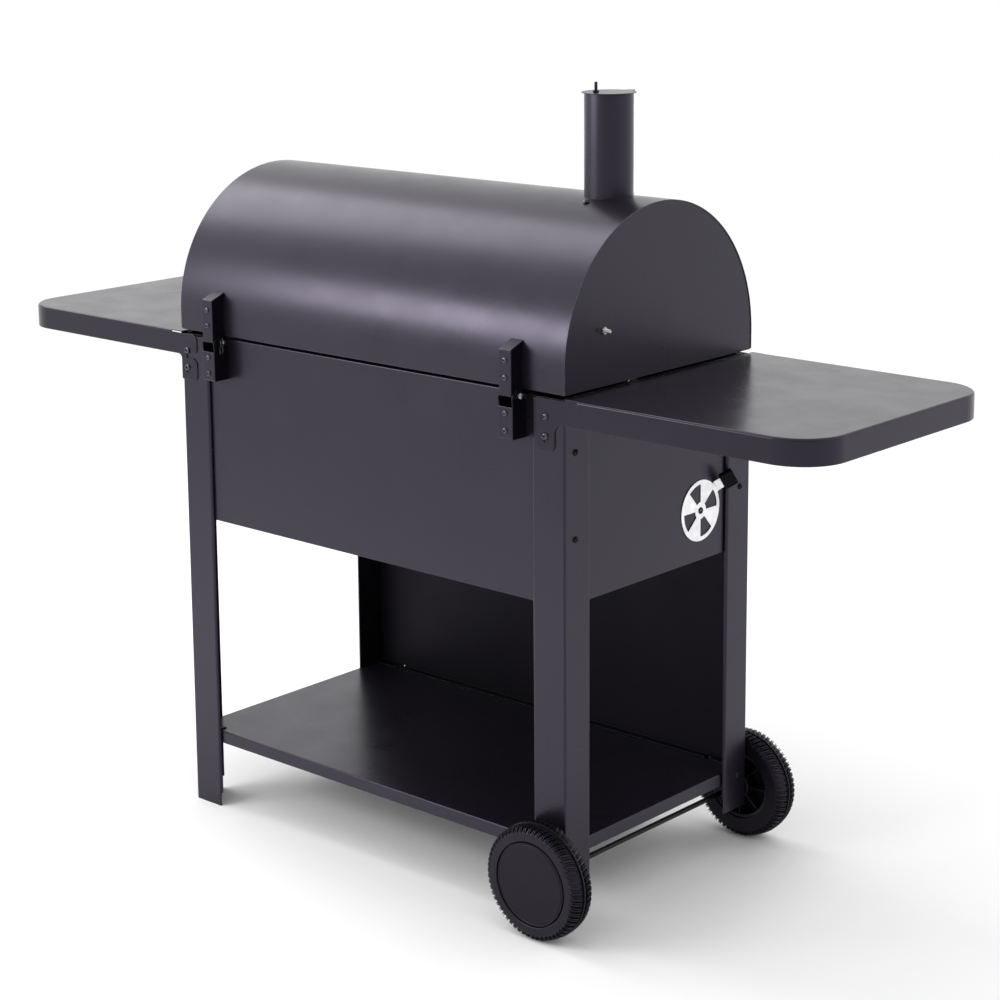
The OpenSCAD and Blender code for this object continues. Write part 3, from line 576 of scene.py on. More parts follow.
def screw(r, head_r, head_h, length, angle=0):
    """A screw with its head on z 0 and its shank down -Z."""
    m = pan_head(head_r, head_h).at(turn(angle, "Z"))
    thread = []
    z = 0.0
    while z > -length + 1.6:
        thread += [(r * 0.86, z), (r, z - 0.4)]
        z -= 0.8
    m.join(lathe([(r * 0.86, 0.4)] + thread + [(r * 0.86, z), (r * 0.6, -length)], 20))
    return m


def hex_nut(across, h, bore):
    """A chamfered hexagon nut that sits on z 0."""
    corner = across / 2 / math.cos(math.pi / 6)

    def flat(r, z, a):
        if r <= bore + 0.01:
            return r
        side = (a + math.pi / 6) % (math.pi / 3) - math.pi / 6
        return min(r, across / 2 / math.cos(side))

    outside = [(across / 2 * 0.97, 0), (corner, 0.14 * h), (corner, 0.86 * h), (across / 2 * 0.97, h)]
    return lathe(outside + [(bore, h), (bore, 0)], 72, closed=True, radius=flat)


def threaded_rod(r, length, chamfer=0.8, pitch=1.0):
    profile = [(r - chamfer, 0), (r * 0.86, chamfer)]
    z = chamfer
    while z < length - chamfer - pitch:
        profile += [(r, z + pitch * 0.4), (r, z + pitch * 0.6), (r * 0.86, z + pitch)]
        z += pitch
    profile += [(r * 0.86, length - chamfer), (r - chamfer, length)]
    return lathe(profile, 24)


def outward(direction, at):
    """A place with +Z along a direction of the frame."""
    z = Vector(direction).normalized()
    return Matrix.Translation(at) @ z.to_track_quat("Z", "Y").to_matrix().to_4x4()


def gather(parts):
    m = Mesh()
    for mesh, place in parts:
        m.join(mesh, place)
    return m


def both_ends(mesh):
    return gather([(mesh, place) for place in BOTH_ENDS])


# ---- legs ----
def leg(name, foot, place):
    """A folded leg: two flanges, each with a turned-in lip that stops short of the foot."""
    t = LEG_T / 2
    lip_y, lip_x = HY - LIP + 1.5, HX - LIP + 1.5
    profile = rounded(
        [(HX - LEG_W + t, lip_y), (HX - LEG_W + t, HY - t), (HX - t, HY - t), (HX - t, HY - LEG_D + t),
         (lip_x, HY - LEG_D + t)],
        [0, 2.9, 2.4, 2.9, 0], closed=False)
    relief = 22

    def keep(a, b, z):
        in_lip = min(a[1], b[1]) < HY - t - 0.01 and max(a[0], b[0]) < HX - LEG_W + t + 1
        in_lip = in_lip or (min(a[0], b[0]) < HX - t - 0.01 and max(a[1], b[1]) < HY - LEG_D + t + 1)
        return z > foot + relief or not in_lip

    sheet = folded(profile, [foot, foot + relief, LEG_TOP], keep)
    piece(name + "_sheet", sheet.at(place), name, sheet=LEG_T, bevel=0.35)


leg("leg_rear_foot_end", 0.0, IDENTITY)
leg("leg_front_foot_end", 0.0, FLIP_Y)
leg("leg_rear_wheel_end", WHEEL_LEG_Z, FLIP_X)
leg("leg_front_wheel_end", WHEEL_LEG_Z, HALF_TURN)


# ---- trays: a flat face with its four edges turned ----
def tray(node, r, up=False):
    """A pressed tray with mitred corners that fills a CAD node's box. Its edges turn down, or up."""
    low, high = span(node)
    half_x, half_y = high.x - SHEET / 2, high.y - SHEET / 2
    top = low.z + SHEET / 2 if up else high.z - SHEET / 2
    depth = high.z - low.z - SHEET / 2
    sign = 1 if up else -1
    steps = 5
    section = [(r * (1 - math.sin(math.pi / 2 * k / steps)), r * (1 - math.cos(math.pi / 2 * k / steps)))
               for k in range(steps + 1)]
    section.append((0, depth))
    rings = []
    for inset, down in section:
        x, y, z = half_x - inset, half_y - inset, top + sign * down
        rings.append([(x, y, z), (-x, y, z), (-x, -y, z), (x, -y, z)])
    m = Mesh().rings(rings, caps=(True, False))
    piece(node + "_sheet", m, node, sheet=SHEET, bevel=0.3, sharp=25)


tray("bottom_shelf", 1.8)
# the flat ears in the shelf's corners, one under each leg's fold, in the darker coat that paints shade on
# the shelf's corners
ear_x0, ear_x1 = 344.5, PX - 2
ear_y0, ear_y1 = 200, PY - 2
ears = []
for sx in (-1, 1):
    for sy in (-1, 1):
        outline = [(sx * ear_x0, sy * ear_y0), (sx * ear_x1, sy * ear_y0), (sx * ear_x1, sy * ear_y1),
                   (sx * ear_x0, sy * ear_y1)]
        ears.append((slab([outline], 1.8, 0.2), shift(z=SHELF_HIGH.z + 1.0)))
piece("bottom_shelf_ears", gather(ears), "bottom_shelf", material=FINISH["painted_shade_coat"])

tray("firebox_floor", 1.5)
tray("ash_pan", 3, up=True)


# ---- panels ----
def wall(name, profile, radii, place, flange_x, keep_all, material=None):
    """A wall of the body: a profile in Y-Z, swept along X, whose flange is shorter than the wall."""
    stations = [-PX + 0.3, -flange_x, flange_x, PX - 0.3]

    def keep(a, b, x):
        return abs(x) < flange_x or keep_all(a, b)

    sheet = folded(rounded(profile, radii, closed=False, steps=4), stations, keep)
    piece(name + "_sheet", sheet.at(place @ yz(0)), name, sheet=SHEET, bevel=0.3, material=material)


def upright(a, b):
    return abs(a[0] - b[0]) < 0.01


wall_y = PY - SHEET / 2
rim_profile = [(PY - 16, RIM_Z - 0.75), (wall_y, RIM_Z - 0.75), (wall_y, BOX_Z)]
wall("box_rear_panel", rim_profile, [0, 1.6, 0], IDENTITY, PX - LEG_W, upright)
wall("box_front_panel", rim_profile, [0, 1.6, 0], FLIP_Y, PX - LEG_W, upright)
shelf_gap = 1.6
hem_z = SHELF_HIGH.z + shelf_gap
# the lower front panel takes the darker, duller coat: painted shade on its inside face
wall("lower_front_panel", [(wall_y, BOX_Z - 0.3), (wall_y, hem_z), (PY - 14, hem_z)], [0, 1.6, 0],
     FLIP_Y, PX - LEG_W, upright, FINISH["shaded_matt_coat"])


def sector(first, sweep, r0, r1, steps=10):
    """A sector-shaped opening with slightly rounded corners."""
    outer = arc(0, 0, r1, first, first + sweep, steps)
    inner = arc(0, 0, r0, first + sweep, first, max(2, steps // 3))
    return outer + inner


VENT_HOLES = (13.3, 40.5)
vent_place = basis((0, -1, 0), (0, 0, 1), (-1, 0, 0), (-PX, VENT_Y, VENT_Z))


def end_wall(name, side, holes):
    y = PY - SHEET
    outline = [(-y, BOX_Z), (y, BOX_Z), (y, RIM_Z), (-y, RIM_Z)]
    m = slab([outline] + holes, SHEET, 0.25, yz(side * (PX - SHEET / 2)))
    piece(name + "_sheet", m, name)


# each opening spans a sweep and starts where the disc's own openings are shut off from it; the vent's
# local X points to the front, so the outlines are turned over for the Y-Z plane
closed_turn = 44.5
sweep = 42
panel_openings = []
for k in range(4):
    opening = sector(closed_turn + 90 * k, sweep, *VENT_HOLES)
    panel_openings.append([(VENT_Y - x, VENT_Z + y) for x, y in opening])
end_wall("box_end_panel_vent", -1, panel_openings)
end_wall("box_end_panel_plain", 1, [])


# ---- lid ----
lid_mid = HY - SHEET / 2
hem_y = HY - SHEET - 11
lid_profile = [(lid_mid, LID_Z + 1.6)] + arc(0, CROWN_Z, lid_mid, 0, 180, 120) + [(-lid_mid, LID_Z + 1.6)]
bend = arc(lid_mid - 0.85, LID_Z + 1.6, 0.85, -90, 0, 3)
hem = [(hem_y, LID_Z + 0.75)] + bend
shell_profile = hem + lid_profile[1:-1] + [(-y, z) for y, z in reversed(hem)]
HEM_X = HX - 3


def lid_keep(a, b, x):
    return abs(x) < HEM_X or (abs(a[0] - b[0]) < 0.01 or max(a[1], b[1]) > CROWN_Z)


shell = folded(shell_profile, [-HX, -HEM_X, HEM_X, HX], lid_keep).at(yz(0))
flue = lathe([(CHIMNEY_R + 0.3, 0), (CHIMNEY_R + 0.3, 60)], 64)
flue_hole = flue.at(shift(CHIMNEY_X, 0, CROWN_Z + HY - 30))
piece("lid_shell_sheet", shell, "lid_shell", sheet=SHEET, bevel=0.35, cuts=[flue_hole])

plate_r = HY - SHEET - 0.02
plate_outline = [(plate_r, LID_Z)] + arc(0, CROWN_Z, plate_r, 0, 180, 96) + [(-plate_r, LID_Z)]
for side, node in ((1, "lid_end_foot_side"), (-1, "lid_end_wheel_side")):
    plate = slab([plate_outline], SHEET, 0.2, yz(side * (HX - 1 - SHEET / 2)))
    piece(node + "_plate", plate, node)


# ---- side tables ----
def table(name, place):
    """A pressed table with a skirt that runs on as two slotted ears, one wide and one narrow."""
    t = SHEET / 2
    y_mid = TABLE_HIGH.y - t
    top = TABLE_TOP - t
    low = TABLE_TOP - TABLE_EDGE
    x0, x1 = HX + 0.3 + t, TABLE_HIGH.x - t
    slit_x, slit_w, slit_z = HX + 22, 1.6, TABLE_TOP - 12
    bend_r, steps, turns = 3.2, 5, 14
    corner = TABLE_R - t
    xc, yc = x1 - corner, y_mid - corner
    # the top's rim from one slit round the outer corners to the other: point and outward direction
    start = slit_x + slit_w
    rim = [((start, -y_mid), (0, -1)), ((xc, -y_mid), (0, -1))]
    for sy, first in ((-1, -90), (1, 0)):
        for k in range(0 if sy > 0 else 1, turns + 1):
            a = math.radians(first + 90 * k / turns)
            d = (math.cos(a), math.sin(a))
            rim.append(((xc + corner * d[0], sy * yc + corner * d[1]), d))
    rim.append(((start, y_mid), (0, 1)))
    m = Mesh()
    rings = []
    for k in range(steps + 1):
        a = math.pi / 2 * k / steps
        inset, z = bend_r * (1 - math.sin(a)), top - bend_r * (1 - math.cos(a))
        rings.append([(p[0] - d[0] * inset, p[1] - d[1] * inset, z) for p, d in rim])
    first = rings[0]
    m.rings(rings, closed=False, caps=(False, False))
    # the flat top, which is plain-cut beside the slits
    flat_top = [(start, -y_mid + 1, top), *first, (start, y_mid - 1, top), (x0 + 2, y_mid - 1, top),
                (x0 + 2, -y_mid + 1, top)]
    m.add(flat_top, [tuple(range(len(flat_top)))])
    # the edge by the body turns down
    fold_points = rounded([(x0 + 2, top), (x0, top), (x0, low + 6)], [0, 1.9, 0], closed=False, steps=4)
    body_edge = folded(fold_points, [-y_mid + 1, y_mid - 1])
    m.join(body_edge, basis((1, 0, 0), (0, 0, 1), (0, 1, 0), (0, 0, 0)))
    # the skirt round the outer end
    ring = [p for p, d in rim[1:-1]]
    skirt_z = top - bend_r
    m.rings([[(*p, skirt_z) for p in ring], [(*p, low) for p in ring]], closed=False, caps=(False, False))
    # the two long sides with their ears
    raw_z = TABLE_TOP - 3
    for sy, ear in ((-1, wide_ear(low, raw_z)), (1, narrow_ear(low, raw_z))):
        outline = [(xc, low), (xc, skirt_z), (start, skirt_z), (start, slit_z), (slit_x, slit_z)]
        m.join(slab([outline + [(slit_x, raw_z)] + ear[0]] + ear[1], 0, 0, xz(sy * y_mid)))
    piece(name + "_sheet", m.at(place), name, sheet=SHEET, even=False, bevel=0.3, sharp=28)


def slot_outline(x, z, r, down):
    """A bolt slot: round at the top and drawn down by a length."""
    return arc(x, z, r, 0, 180, 10) + arc(x, z - down, r, 180, 360, 10)


def wide_ear(low, raw_z):
    """The wide ear's outline from the skirt's raw top round to the skirt's lower edge, and its holes."""
    x, z = EAR_WIDE_X, raw_z - 75
    half = 17
    outline = [(x - half, raw_z)] + arc(x - 7, z + 10, 10, 180, 270, 8) + arc(x + 7, z + 10, 10, 270, 360, 8)
    outline += [(x + half, low - 16)] + arc(x + half + 14, low - 15, 14, 180, 90, 8)
    return outline, [arc(x, EAR_BOLT_Z[0], 3.4, 0, 350, 20), slot_outline(x, EAR_BOLT_Z[1], 3.4, 6)]


def narrow_ear(low, raw_z):
    """The narrow ear's outline: two rounded lobes and an open hook that runs to the upper bolt."""
    x, z = EAR_NARROW_X, raw_z - 74
    inner = HX - 36
    bolt = EAR_BOLT_Z[0]
    points = arc(inner + 8, raw_z - 8, 8, 90, 180, 6) + arc(inner + 7, bolt + 2.5, 7, 180, 270, 6)
    points += [(x - 3.4, bolt - 4.5 + 4.0)] + arc(x, bolt, 3.4, 180, 20, 6) + [(x + 3.2, bolt - 7)]
    points += arc(x - 2, bolt - 8.5, 5, 0, -70, 4) + arc(inner + 12, bolt - 24, 12, 90, 180, 6)
    points += arc(inner + 8, z + 8, 8, 180, 270, 6) + [(HX - 2.5, z)] + arc(HX - 2, z + 2, 2, 270, 360, 3)
    points += arc(HX + 8, low - 8, 8, 180, 90, 6)
    return points, [slot_outline(x, EAR_BOLT_Z[1], 3.4, 6)]


table("table_foot_end", IDENTITY)
table("table_wheel_end", HALF_TURN)

bolt_parts = []
for place in (IDENTITY, HALF_TURN):
    for k, z in enumerate(EAR_BOLT_Z):
        for x, side in ((EAR_NARROW_X, 1), (EAR_WIDE_X, -1)):
            at = outward((0, side, 0), (x, side * TABLE_HIGH.y, z))
            bolt_parts.append((screw(3, 5.5, 3.2, 17, 25 + 40 * k), place @ at))
piece("table_bolts_pan", gather(bolt_parts), "table_bolts")

leg_parts = []
for side in (1, -1):
    for y in (LEG_SCREW_Y, -LEG_SCREW_Y):
        for k, z in enumerate(LEG_SCREW_Z):
            leg_parts.append((screw(3, 4.9, 3.0, 16, 15 + 50 * k), outward((side, 0, 0), (side * HX, y, z))))
piece("leg_screws_pan", gather(leg_parts), "leg_screws", material=FINISH["rivet_black"])


# ---- hinges ----
def channel(profile, width):
    """A web that is bent along its length, swept across the hinge."""
    return folded(profile, [-width / 2, width / 2]).at(yz(HINGE_X))


def hinge_leaf(name, web, width, flank):
    """A channel: a bent web and two flanks with a round about the pin."""
    hinge = piece_solid(channel(web, width), HINGE_T, 0.9)
    sides = Mesh()
    for s in (-1, 1):
        x = HINGE_X + s * (width / 2 - HINGE_T / 2)
        sides.join(slab(flank, HINGE_T, 0.45, yz(x)))
    piece(name + "_web", both_ends(hinge), name, sharp=35)
    # the flanks take the darker copy of the coat, which paints them as shaded
    piece(name + "_flanks", both_ends(sides), name, sharp=35, material=FINISH["painted_shade_coat"])


def piece_solid(mesh, thick, bevel):
    """Gives an open sheet its thickness and rounded edges, and returns it as a Mesh again."""
    obj = placed("solid", build(mesh, "solid"))
    thicken(obj, thick)
    soften(obj, bevel, 3, 50)
    made = bpy.data.meshes.new_from_object(obj.evaluated_get(DG()))
    out = Mesh().add([v.co / MM for v in made.vertices], [tuple(f.vertices) for f in made.polygons])
    spare = obj.data
    bpy.data.objects.remove(obj)
    bpy.data.meshes.remove(spare)
    bpy.data.meshes.remove(made)
    return out


web_mid = HINGE_Y - HINGE_T / 2
hinge_low, hinge_gap, hinge_top, hinge_back = PIN_Z - 62, PIN_Z - 15, PIN_Z + 67, PIN_Z + 78
pin_hole = arc(PIN_Y, PIN_Z, 3.1, 0, 345, 18)
low_web = rounded([(PY, hinge_low + 1), (web_mid, hinge_low + 1), (web_mid, hinge_gap)], [0, 1.6, 0], False)
nose = arc(PIN_Y, PIN_Z, EAR_R, 30, 180, 14)
low_flank = [(PY + 0.1, hinge_low + 0.4), (HINGE_Y - 1.2, hinge_low + 0.4), (HINGE_Y - 1.2, hinge_gap + 1)]
low_flank += arc(PIN_Y + 2, PIN_Z - 4, 13, 0, 60, 6) + nose[3:]
low_flank += [(PIN_Y - EAR_R, PIN_Z - 4), (PY + 0.1, PIN_Z - 8)]
hinge_leaf("hinge_box_leaves", low_web, HINGE_W, [low_flank, pin_hole])

lid_web = [(web_mid, PIN_Z), (web_mid, hinge_top - 0.6), (HY - 5, hinge_back - 1)]
lid_web = rounded(lid_web, [0, 1.6, 0], False)
lid_round = arc(0, CROWN_Z, HY + 0.05, 10.2, 0.5, 6)
lid_flank = [(HINGE_Y - 1.2, PIN_Z + 0.5), (HINGE_Y - 1.2, hinge_top - 1.2)]
lid_flank += [(lid_round[0][0] + 1, hinge_back - 2.4)]
lid_flank += lid_round + [(HY + 0.05, LID_Z + 2)] + arc(PIN_Y, PIN_Z, EAR_R - 0.4, 150, 330, 14)
hinge_leaf("hinge_lid_leaves", lid_web, HINGE_W - 4.6, [lid_flank, pin_hole])

for node, heights in (("hinge_box_screws", HINGE_BOX_Z), ("hinge_lid_screws", HINGE_LID_Z)):
    hinge_screws = []
    for k, z in enumerate(heights):
        for side in (1, -1):
            place = outward((0, 1, 0), (side * HINGE_X, HINGE_Y, z))
            hinge_screws.append((screw(2.5, 4.4, 2.5, 30, 30 + 35 * k), place))
    piece(node + "_pan", gather(hinge_screws), node)

reach = HINGE_W / 2 + 0.3
pin_profile = [(2.2, -reach - 8), (3, -reach - 7.2), (3, reach), (5.2, reach), (5.2, reach + 2.6),
               (4.9, reach + 4.0), (4.0, reach + 5.2), (2.4, reach + 5.9), (0.8, reach + 6)]
pin = lathe(pin_profile, 40).at(outward((1, 0, 0), (HINGE_X, PIN_Y, PIN_Z)))
piece("hinge_pins_turned", both_ends(pin), "hinge_pins", material=FINISH["pin_steel"])

clip_x = HINGE_X - HINGE_W / 2 - 4
clip_path = [(clip_x, PIN_Y, PIN_Z + 6.5), (clip_x, PIN_Y, PIN_Z - 15)]
clip_path += [(clip_x, PIN_Y + 2.8 + 2.8 * math.cos(a), PIN_Z - 15.5 + 2.8 * math.sin(a))
              for a in [math.pi + math.pi * k / 12 for k in range(13)]]
clip_waves = ((5.6, -9), (3.8, -4.5), (4.1, 0), (3.8, 3), (5.4, 5))
clip_path += [(clip_x, PIN_Y + y, PIN_Z + z) for y, z in clip_waves]
clip = rods([clip_path], 0.9)
piece("hinge_clips_wire", both_ends(clip), "hinge_clips", material=FINISH["fastener_steel"])


# ---- chimney ----
tube_profile = [(CHIMNEY_R, 0), (CHIMNEY_R, 174.2), (CHIMNEY_R - 0.3, 174.8), (CHIMNEY_R - 0.75, 175),
                (CHIMNEY_R - 1.2, 174.8), (CHIMNEY_R - 1.5, 174.2), (CHIMNEY_R - 1.5, 0)]
tube = lathe(tube_profile, 96, closed=True).at(shift(CHIMNEY_X, 0, CHIMNEY_TOP - 175))
piece("chimney_tube_rolled", tube, "chimney_tube")

cap_z = CHIMNEY_TOP + 0.1
cap_profile = [(0.5, 0), (CAP_R - 0.5, 0), (CAP_R, 0.35), (CAP_R, 1.0), (CAP_R - 0.5, 1.4), (0.5, 1.4)]
cap = lathe(cap_profile, 96).at(shift(CHIMNEY_X, 0, cap_z))
tab = slab([rounded([(-10, -11), (3, -11), (3, 2), (-10, 2)], [4, 4, 0, 0])], 1.3, 0.3,
           shift(CHIMNEY_X, -CAP_R, cap_z + 0.7))
cap.join(tab)
piece("chimney_cap_disc", cap, "chimney_cap")

bar_z = CHIMNEY_TOP - 9
inner = CHIMNEY_R - SHEET - 0.05
bar_end = math.degrees(math.asin((POST_Y + 6) / inner))
bar_outline = arc(0, 0, inner, -math.degrees(math.asin((6 - POST_Y) / inner)), bar_end, 6)
bar_outline += arc(0, 0, inner, 180 - bar_end, 180 + math.degrees(math.asin((6 - POST_Y) / inner)), 6)
post = slab([bar_outline], 3, 0.4, shift(CHIMNEY_X, 0, bar_z + 1.5))
post.join(threaded_rod(2.5, 26), shift(POST_X, POST_Y, bar_z))
post.join(hex_nut(8, 3, 2.3), shift(POST_X, POST_Y, CHIMNEY_TOP + 1.65))
piece("damper_post_threaded", post, "damper_post", material=FINISH["rivet_black"])

chimney_parts = []
for s in (-1, 1):
    z = CROWN_Z + math.sqrt(HY * HY - 52 * 52) + 1.3
    chimney_parts.append((screw(2.5, 4.7, 2.6, 16, 30), shift(CHIMNEY_X, s * 52, z)))
piece("chimney_screws_pan", gather(chimney_parts), "chimney_screws")

stud_parts = []
for place in BOTH_ENDS:
    out = place @ outward((1, 0, 0), (0, STUD_Y, STUD_Z))
    stud_parts.append((threaded_rod(3, 33), out @ shift(z=RACK_X - 4)))
    stud_parts.append((hex_nut(10, 4, 2.7), out @ shift(z=HX - 1)))
    stud_parts.append((hex_nut(10, 4, 2.7), out @ shift(z=HX - 6.5)))
piece("rack_studs_threaded", gather(stud_parts), "rack_studs")


# ---- air vent ----
tip = GRIP_BEND_R + 0.3


def turned(points, degrees):
    c, s = math.cos(math.radians(degrees)), math.sin(math.radians(degrees))
    return [(x * c - y * s, x * s + y * c) for x, y in points]


start_angle = math.degrees(math.asin(10 / VENT_R))
outer = [(tip, 10)] + arc(0, 0, VENT_R, start_angle, 360 - start_angle, 80) + [(tip, -10)]
vent_holes = [sector(90 * k, sweep, *VENT_HOLES, steps=12) for k in range(4)]
disc = slab([turned(outer, GRIP_ANGLE)] + vent_holes, 1.2, 0.28, vent_place @ shift(z=0.9))
on_tongue = vent_place @ turn(GRIP_ANGLE, "Z") @ shift(GRIP_BEND_R, 0, 0.9) @ turn(-GRIP_BEND, "Y")
tongue = slab([[(-0.3, -10), (21, -9.5), (21, 9.5), (-0.3, 10)]], 1.1, 0.25, on_tongue)
piece("vent_disc_pressed", disc.join(tongue), "vent_disc")

# the grip: a rounded sleeve with ribs along it
grip_section = rounded([(-16, -4.0), (16, -4.0), (16, 4.0), (-16, 4.0)], 3.2, steps=6)
grip_rings = []
for x, scale in ((0, 0.90), (0.8, 0.97), (2.0, 1.0), (20, 1.0), (21.4, 0.97), (22, 0.88)):
    grip_rings.append([(x + 10, across * scale, up * scale) for across, up in grip_section])
knob = Mesh().rings(grip_rings)
rib_outline = rounded([(0, -1.1), (19, -1.1), (19, 1.1), (0, 1.1)], 1.0, steps=3)
for side in (-1, 1):
    for k in range(5):
        knob.join(slab([rib_outline], 1.4, 0.6), shift(11.5, 5.6 * (k - 2), side * 4.1))
piece("vent_knob_ribbed", knob.at(on_tongue), "vent_knob")

rivet_profile = [(3, -4), (5.2, -3.6), (5.5, -3.0), (5.5, -2.0), (3, -1.6), (3, 1.5), (5.2, 1.5), (5.2, 2.0),
                 (4.6, 2.8), (3.4, 3.1), (2.3, 3.0), (1.9, 2.4), (1.8, 0.4)]
piece("vent_rivet_hollow", lathe(rivet_profile, 40).at(vent_place), "vent_rivet")


# ---- wheels ----
def wheel(name, place):
    """A moulded wheel: a crowned tread of two rows of hollow lugs beside a thin ridge, over inner ribs."""
    lugs, ribs = 60, 8
    # how far the tread rises, over one lug: two thin walls with a hollow between them, then a groove
    pattern = ((0.0, 0.0), (0.05, 1.0), (0.17, 1.0), (0.21, 0.25), (0.35, 0.25), (0.39, 1.0), (0.51, 1.0),
               (0.56, 0.0))
    w = WHEEL_W
    middle = w / 2
    high, crown, shoulder = 4.4, 4.0, 3.6

    def bed(y):
        return WHEEL_R - high - crown * ((y - middle) / middle) ** 2 - shoulder * max(0.0, 1 - y / 3)

    # half of the tread: distance from the side face, lug height and how far the lugs have slanted
    half = [(0.8, 4.2, 0.0), (3.0, high, 0.04), (5.0, high, 0.10), (9.0, high, 0.22), (13.0, high, 0.34),
            (15.6, 4.3, 0.42), (16.2, 0.4, 0.44), (17.0, 0.0, 0.45)]
    ridge = [(17.2, 0.6), (19.4, 0.8), (19.8, 4.0), (20.6, high)]
    rows = [(71.6, 0.0, 0, 0), (72.6, 0.0, 0, 0), (73.4, 0.1, 0, 0), (bed(0.4), 0.4, 3.4, 0.0)]
    rows += [(bed(y), y, lift, slant) for y, lift, slant in half]
    rows += [(bed(y) + rise, y, 0, 0) for y, rise in ridge]
    rows += [(bed(y) + rise, w - y, 0, 0) for y, rise in reversed(ridge)]
    rows += [(bed(y), w - y, lift, slant + 0.5) for y, lift, slant in reversed(half)]
    rows += [(bed(0.4), w - 0.4, 3.4, 0.5), (73.4, w - 0.1, 0, 0), (72.6, w, 0, 0), (64.6, w, 0, 0),
             (63.7, w - 0.6, 0, 0), (63.2, w - 4.1, 0, 0), (59.4, w - 5, 0, 0), (57.4, w - 11, 0, 0),
             (15, w - 12, 0, 0), (4.3, w - 12, 0, 0), (4.3, 0, 0, 0), (19, 0, 0, 0), (20, 1, 0, 0),
             (20.5, 23.5, 0, 0), (46, 25.5, 0, 0), (48.5, 23, 0, 0), (49.6, 5, 0, 0), (53.2, 3.6, 0, 0),
             (54, 1.2, 0, 0), (55, 0.6, 0, 0), (70, 0.4, 0, 0)]
    rings = []
    for r, y, lift, slant in rows + rows[:1]:
        ring = []
        for lug in range(lugs):
            for at, rise in pattern:
                a = 2 * math.pi * (lug + at + slant) / lugs
                ring.append(polar(min(r + lift * rise, WHEEL_R), a, y))
        rings.append(ring)
    m = Mesh().rings(rings, caps=(False, False))
    # ribs in the hollow of the inner side
    for k in range(ribs):
        rib = slab([[(19, 4), (49, 7), (49, 25), (19, 24)]], 2.4, 0.3)
        m.join(rib, turn(360 / ribs * k, "Z") @ turn(90, "X"))
    local = basis((1, 0, 0), (0, 0, 1), (0, 1, 0), (AXLE_X, WHEEL_Y, WHEEL_R))
    piece(name + "_moulded", m.at(place @ local), name, sharp=28)
    cap_profile = [(0.6, -2.4), (58.5, -2.4), (58.5, -4.0), (60.8, -4.0), (61.4, -3.4), (61.5, -1.4),
                   (61.0, -0.6), (60.0, -0.3), (59.0, -0.9), (58.2, -0.9), (57.4, -0.2), (30, 0), (0.6, 0)]
    cap_node = name.replace("wheel_", "wheel_cap_")
    cap_mesh = lathe(cap_profile, 120).at(place @ local @ shift(z=w))
    piece(cap_node + "_moulded", cap_mesh, cap_node, sharp=24)


wheel("wheel_rear", IDENTITY)
wheel("wheel_front", FLIP_Y)

axle_half = WHEEL_Y + WHEEL_W - 8
axle_profile = [(3, -axle_half), (4, -axle_half + 1), (4, axle_half - 1), (3, axle_half)]
axle_mesh = lathe(axle_profile, 32).at(outward((0, 1, 0), (AXLE_X, 0, WHEEL_R)))
piece("axle_rod", axle_mesh, "axle", material=FINISH["rivet_black"])


def ring_on_axle(name, node, r, length, y, bevel=0.5):
    profile = [(4.1, 0), (r - bevel, 0), (r, bevel), (r, length - bevel), (r - bevel, length), (4.1, length)]
    ring = lathe(profile, 40, closed=True)
    m = gather([(ring, outward((0, s, 0), (AXLE_X, s * y, WHEEL_R))) for s in (-1, 1)])
    piece(name, m, node)


ring_on_axle("axle_spacers_turned", "axle_spacers", 8, WHEEL_Y - HY - 0.4, HY + 0.2)
ring_on_axle("axle_push_nuts_pressed", "axle_push_nuts", 8.5, 1.2, WHEEL_Y + 30.2, 0.3)


# ---- handle and thermometer, on the front of the lid ----
def on_crown(angle):
    """A place on the front of the lid's half round, with +Z pointing outwards."""
    a = math.radians(angle)
    at = (0, -HY * math.cos(a), CROWN_Z + HY * math.sin(a))
    return shift(*at) @ turn(90 - angle, "X")


handle_place = on_crown(HANDLE_ANGLE)
bracket = slab([rounded([(-11, -22), (11, -22), (11, 22), (-11, 22)], 4)], 3, 0.5, shift(z=1.55))
half_post = 8
neck = math.degrees(math.asin(half_post / 13))
arm = [(half_post, 2.5)] + arc(0, HANDLE_OFF, 13, -90 + neck, 270 - neck, 28) + [(-half_post, 2.5)]
grip_hole = arc(0, HANDLE_OFF, 9.05, 0, 350, 36)
bracket.join(slab([arm, grip_hole], 22, 1.6, yz(0)))
brackets = gather([(bracket, shift(x=s * HANDLE_HALF)) for s in (-1, 1)])
piece("lid_handle_brackets_cast", brackets.at(handle_place), "lid_handle_brackets")

grip_half = HANDLE_HALF + 22
grip_profile = [(8.4, -grip_half), (8.9, -grip_half + 0.4), (9, -grip_half + 1.0), (9, grip_half - 1.0),
                (8.9, grip_half - 0.4), (8.4, grip_half), (7.8, grip_half - 0.6), (7.8, -grip_half + 0.6)]
grip = lathe(grip_profile, 56, closed=True)
grip_place = handle_place @ outward((1, 0, 0), (0, 0, HANDLE_OFF))
piece("lid_handle_grip_tube", grip.at(grip_place), "lid_handle_grip")

handle_parts = []
for s in (-1, 1):
    for k in (-1, 1):
        at = handle_place @ shift(s * HANDLE_HALF, k * 16, 3.1)
        handle_parts.append((screw(2.5, 4.7, 2.6, 16, 20), at))
        handle_parts.append((hex_nut(8, 4, 2.4), at @ shift(z=-9.6)))
piece("lid_handle_screws_pan", gather(handle_parts), "lid_handle_screws")

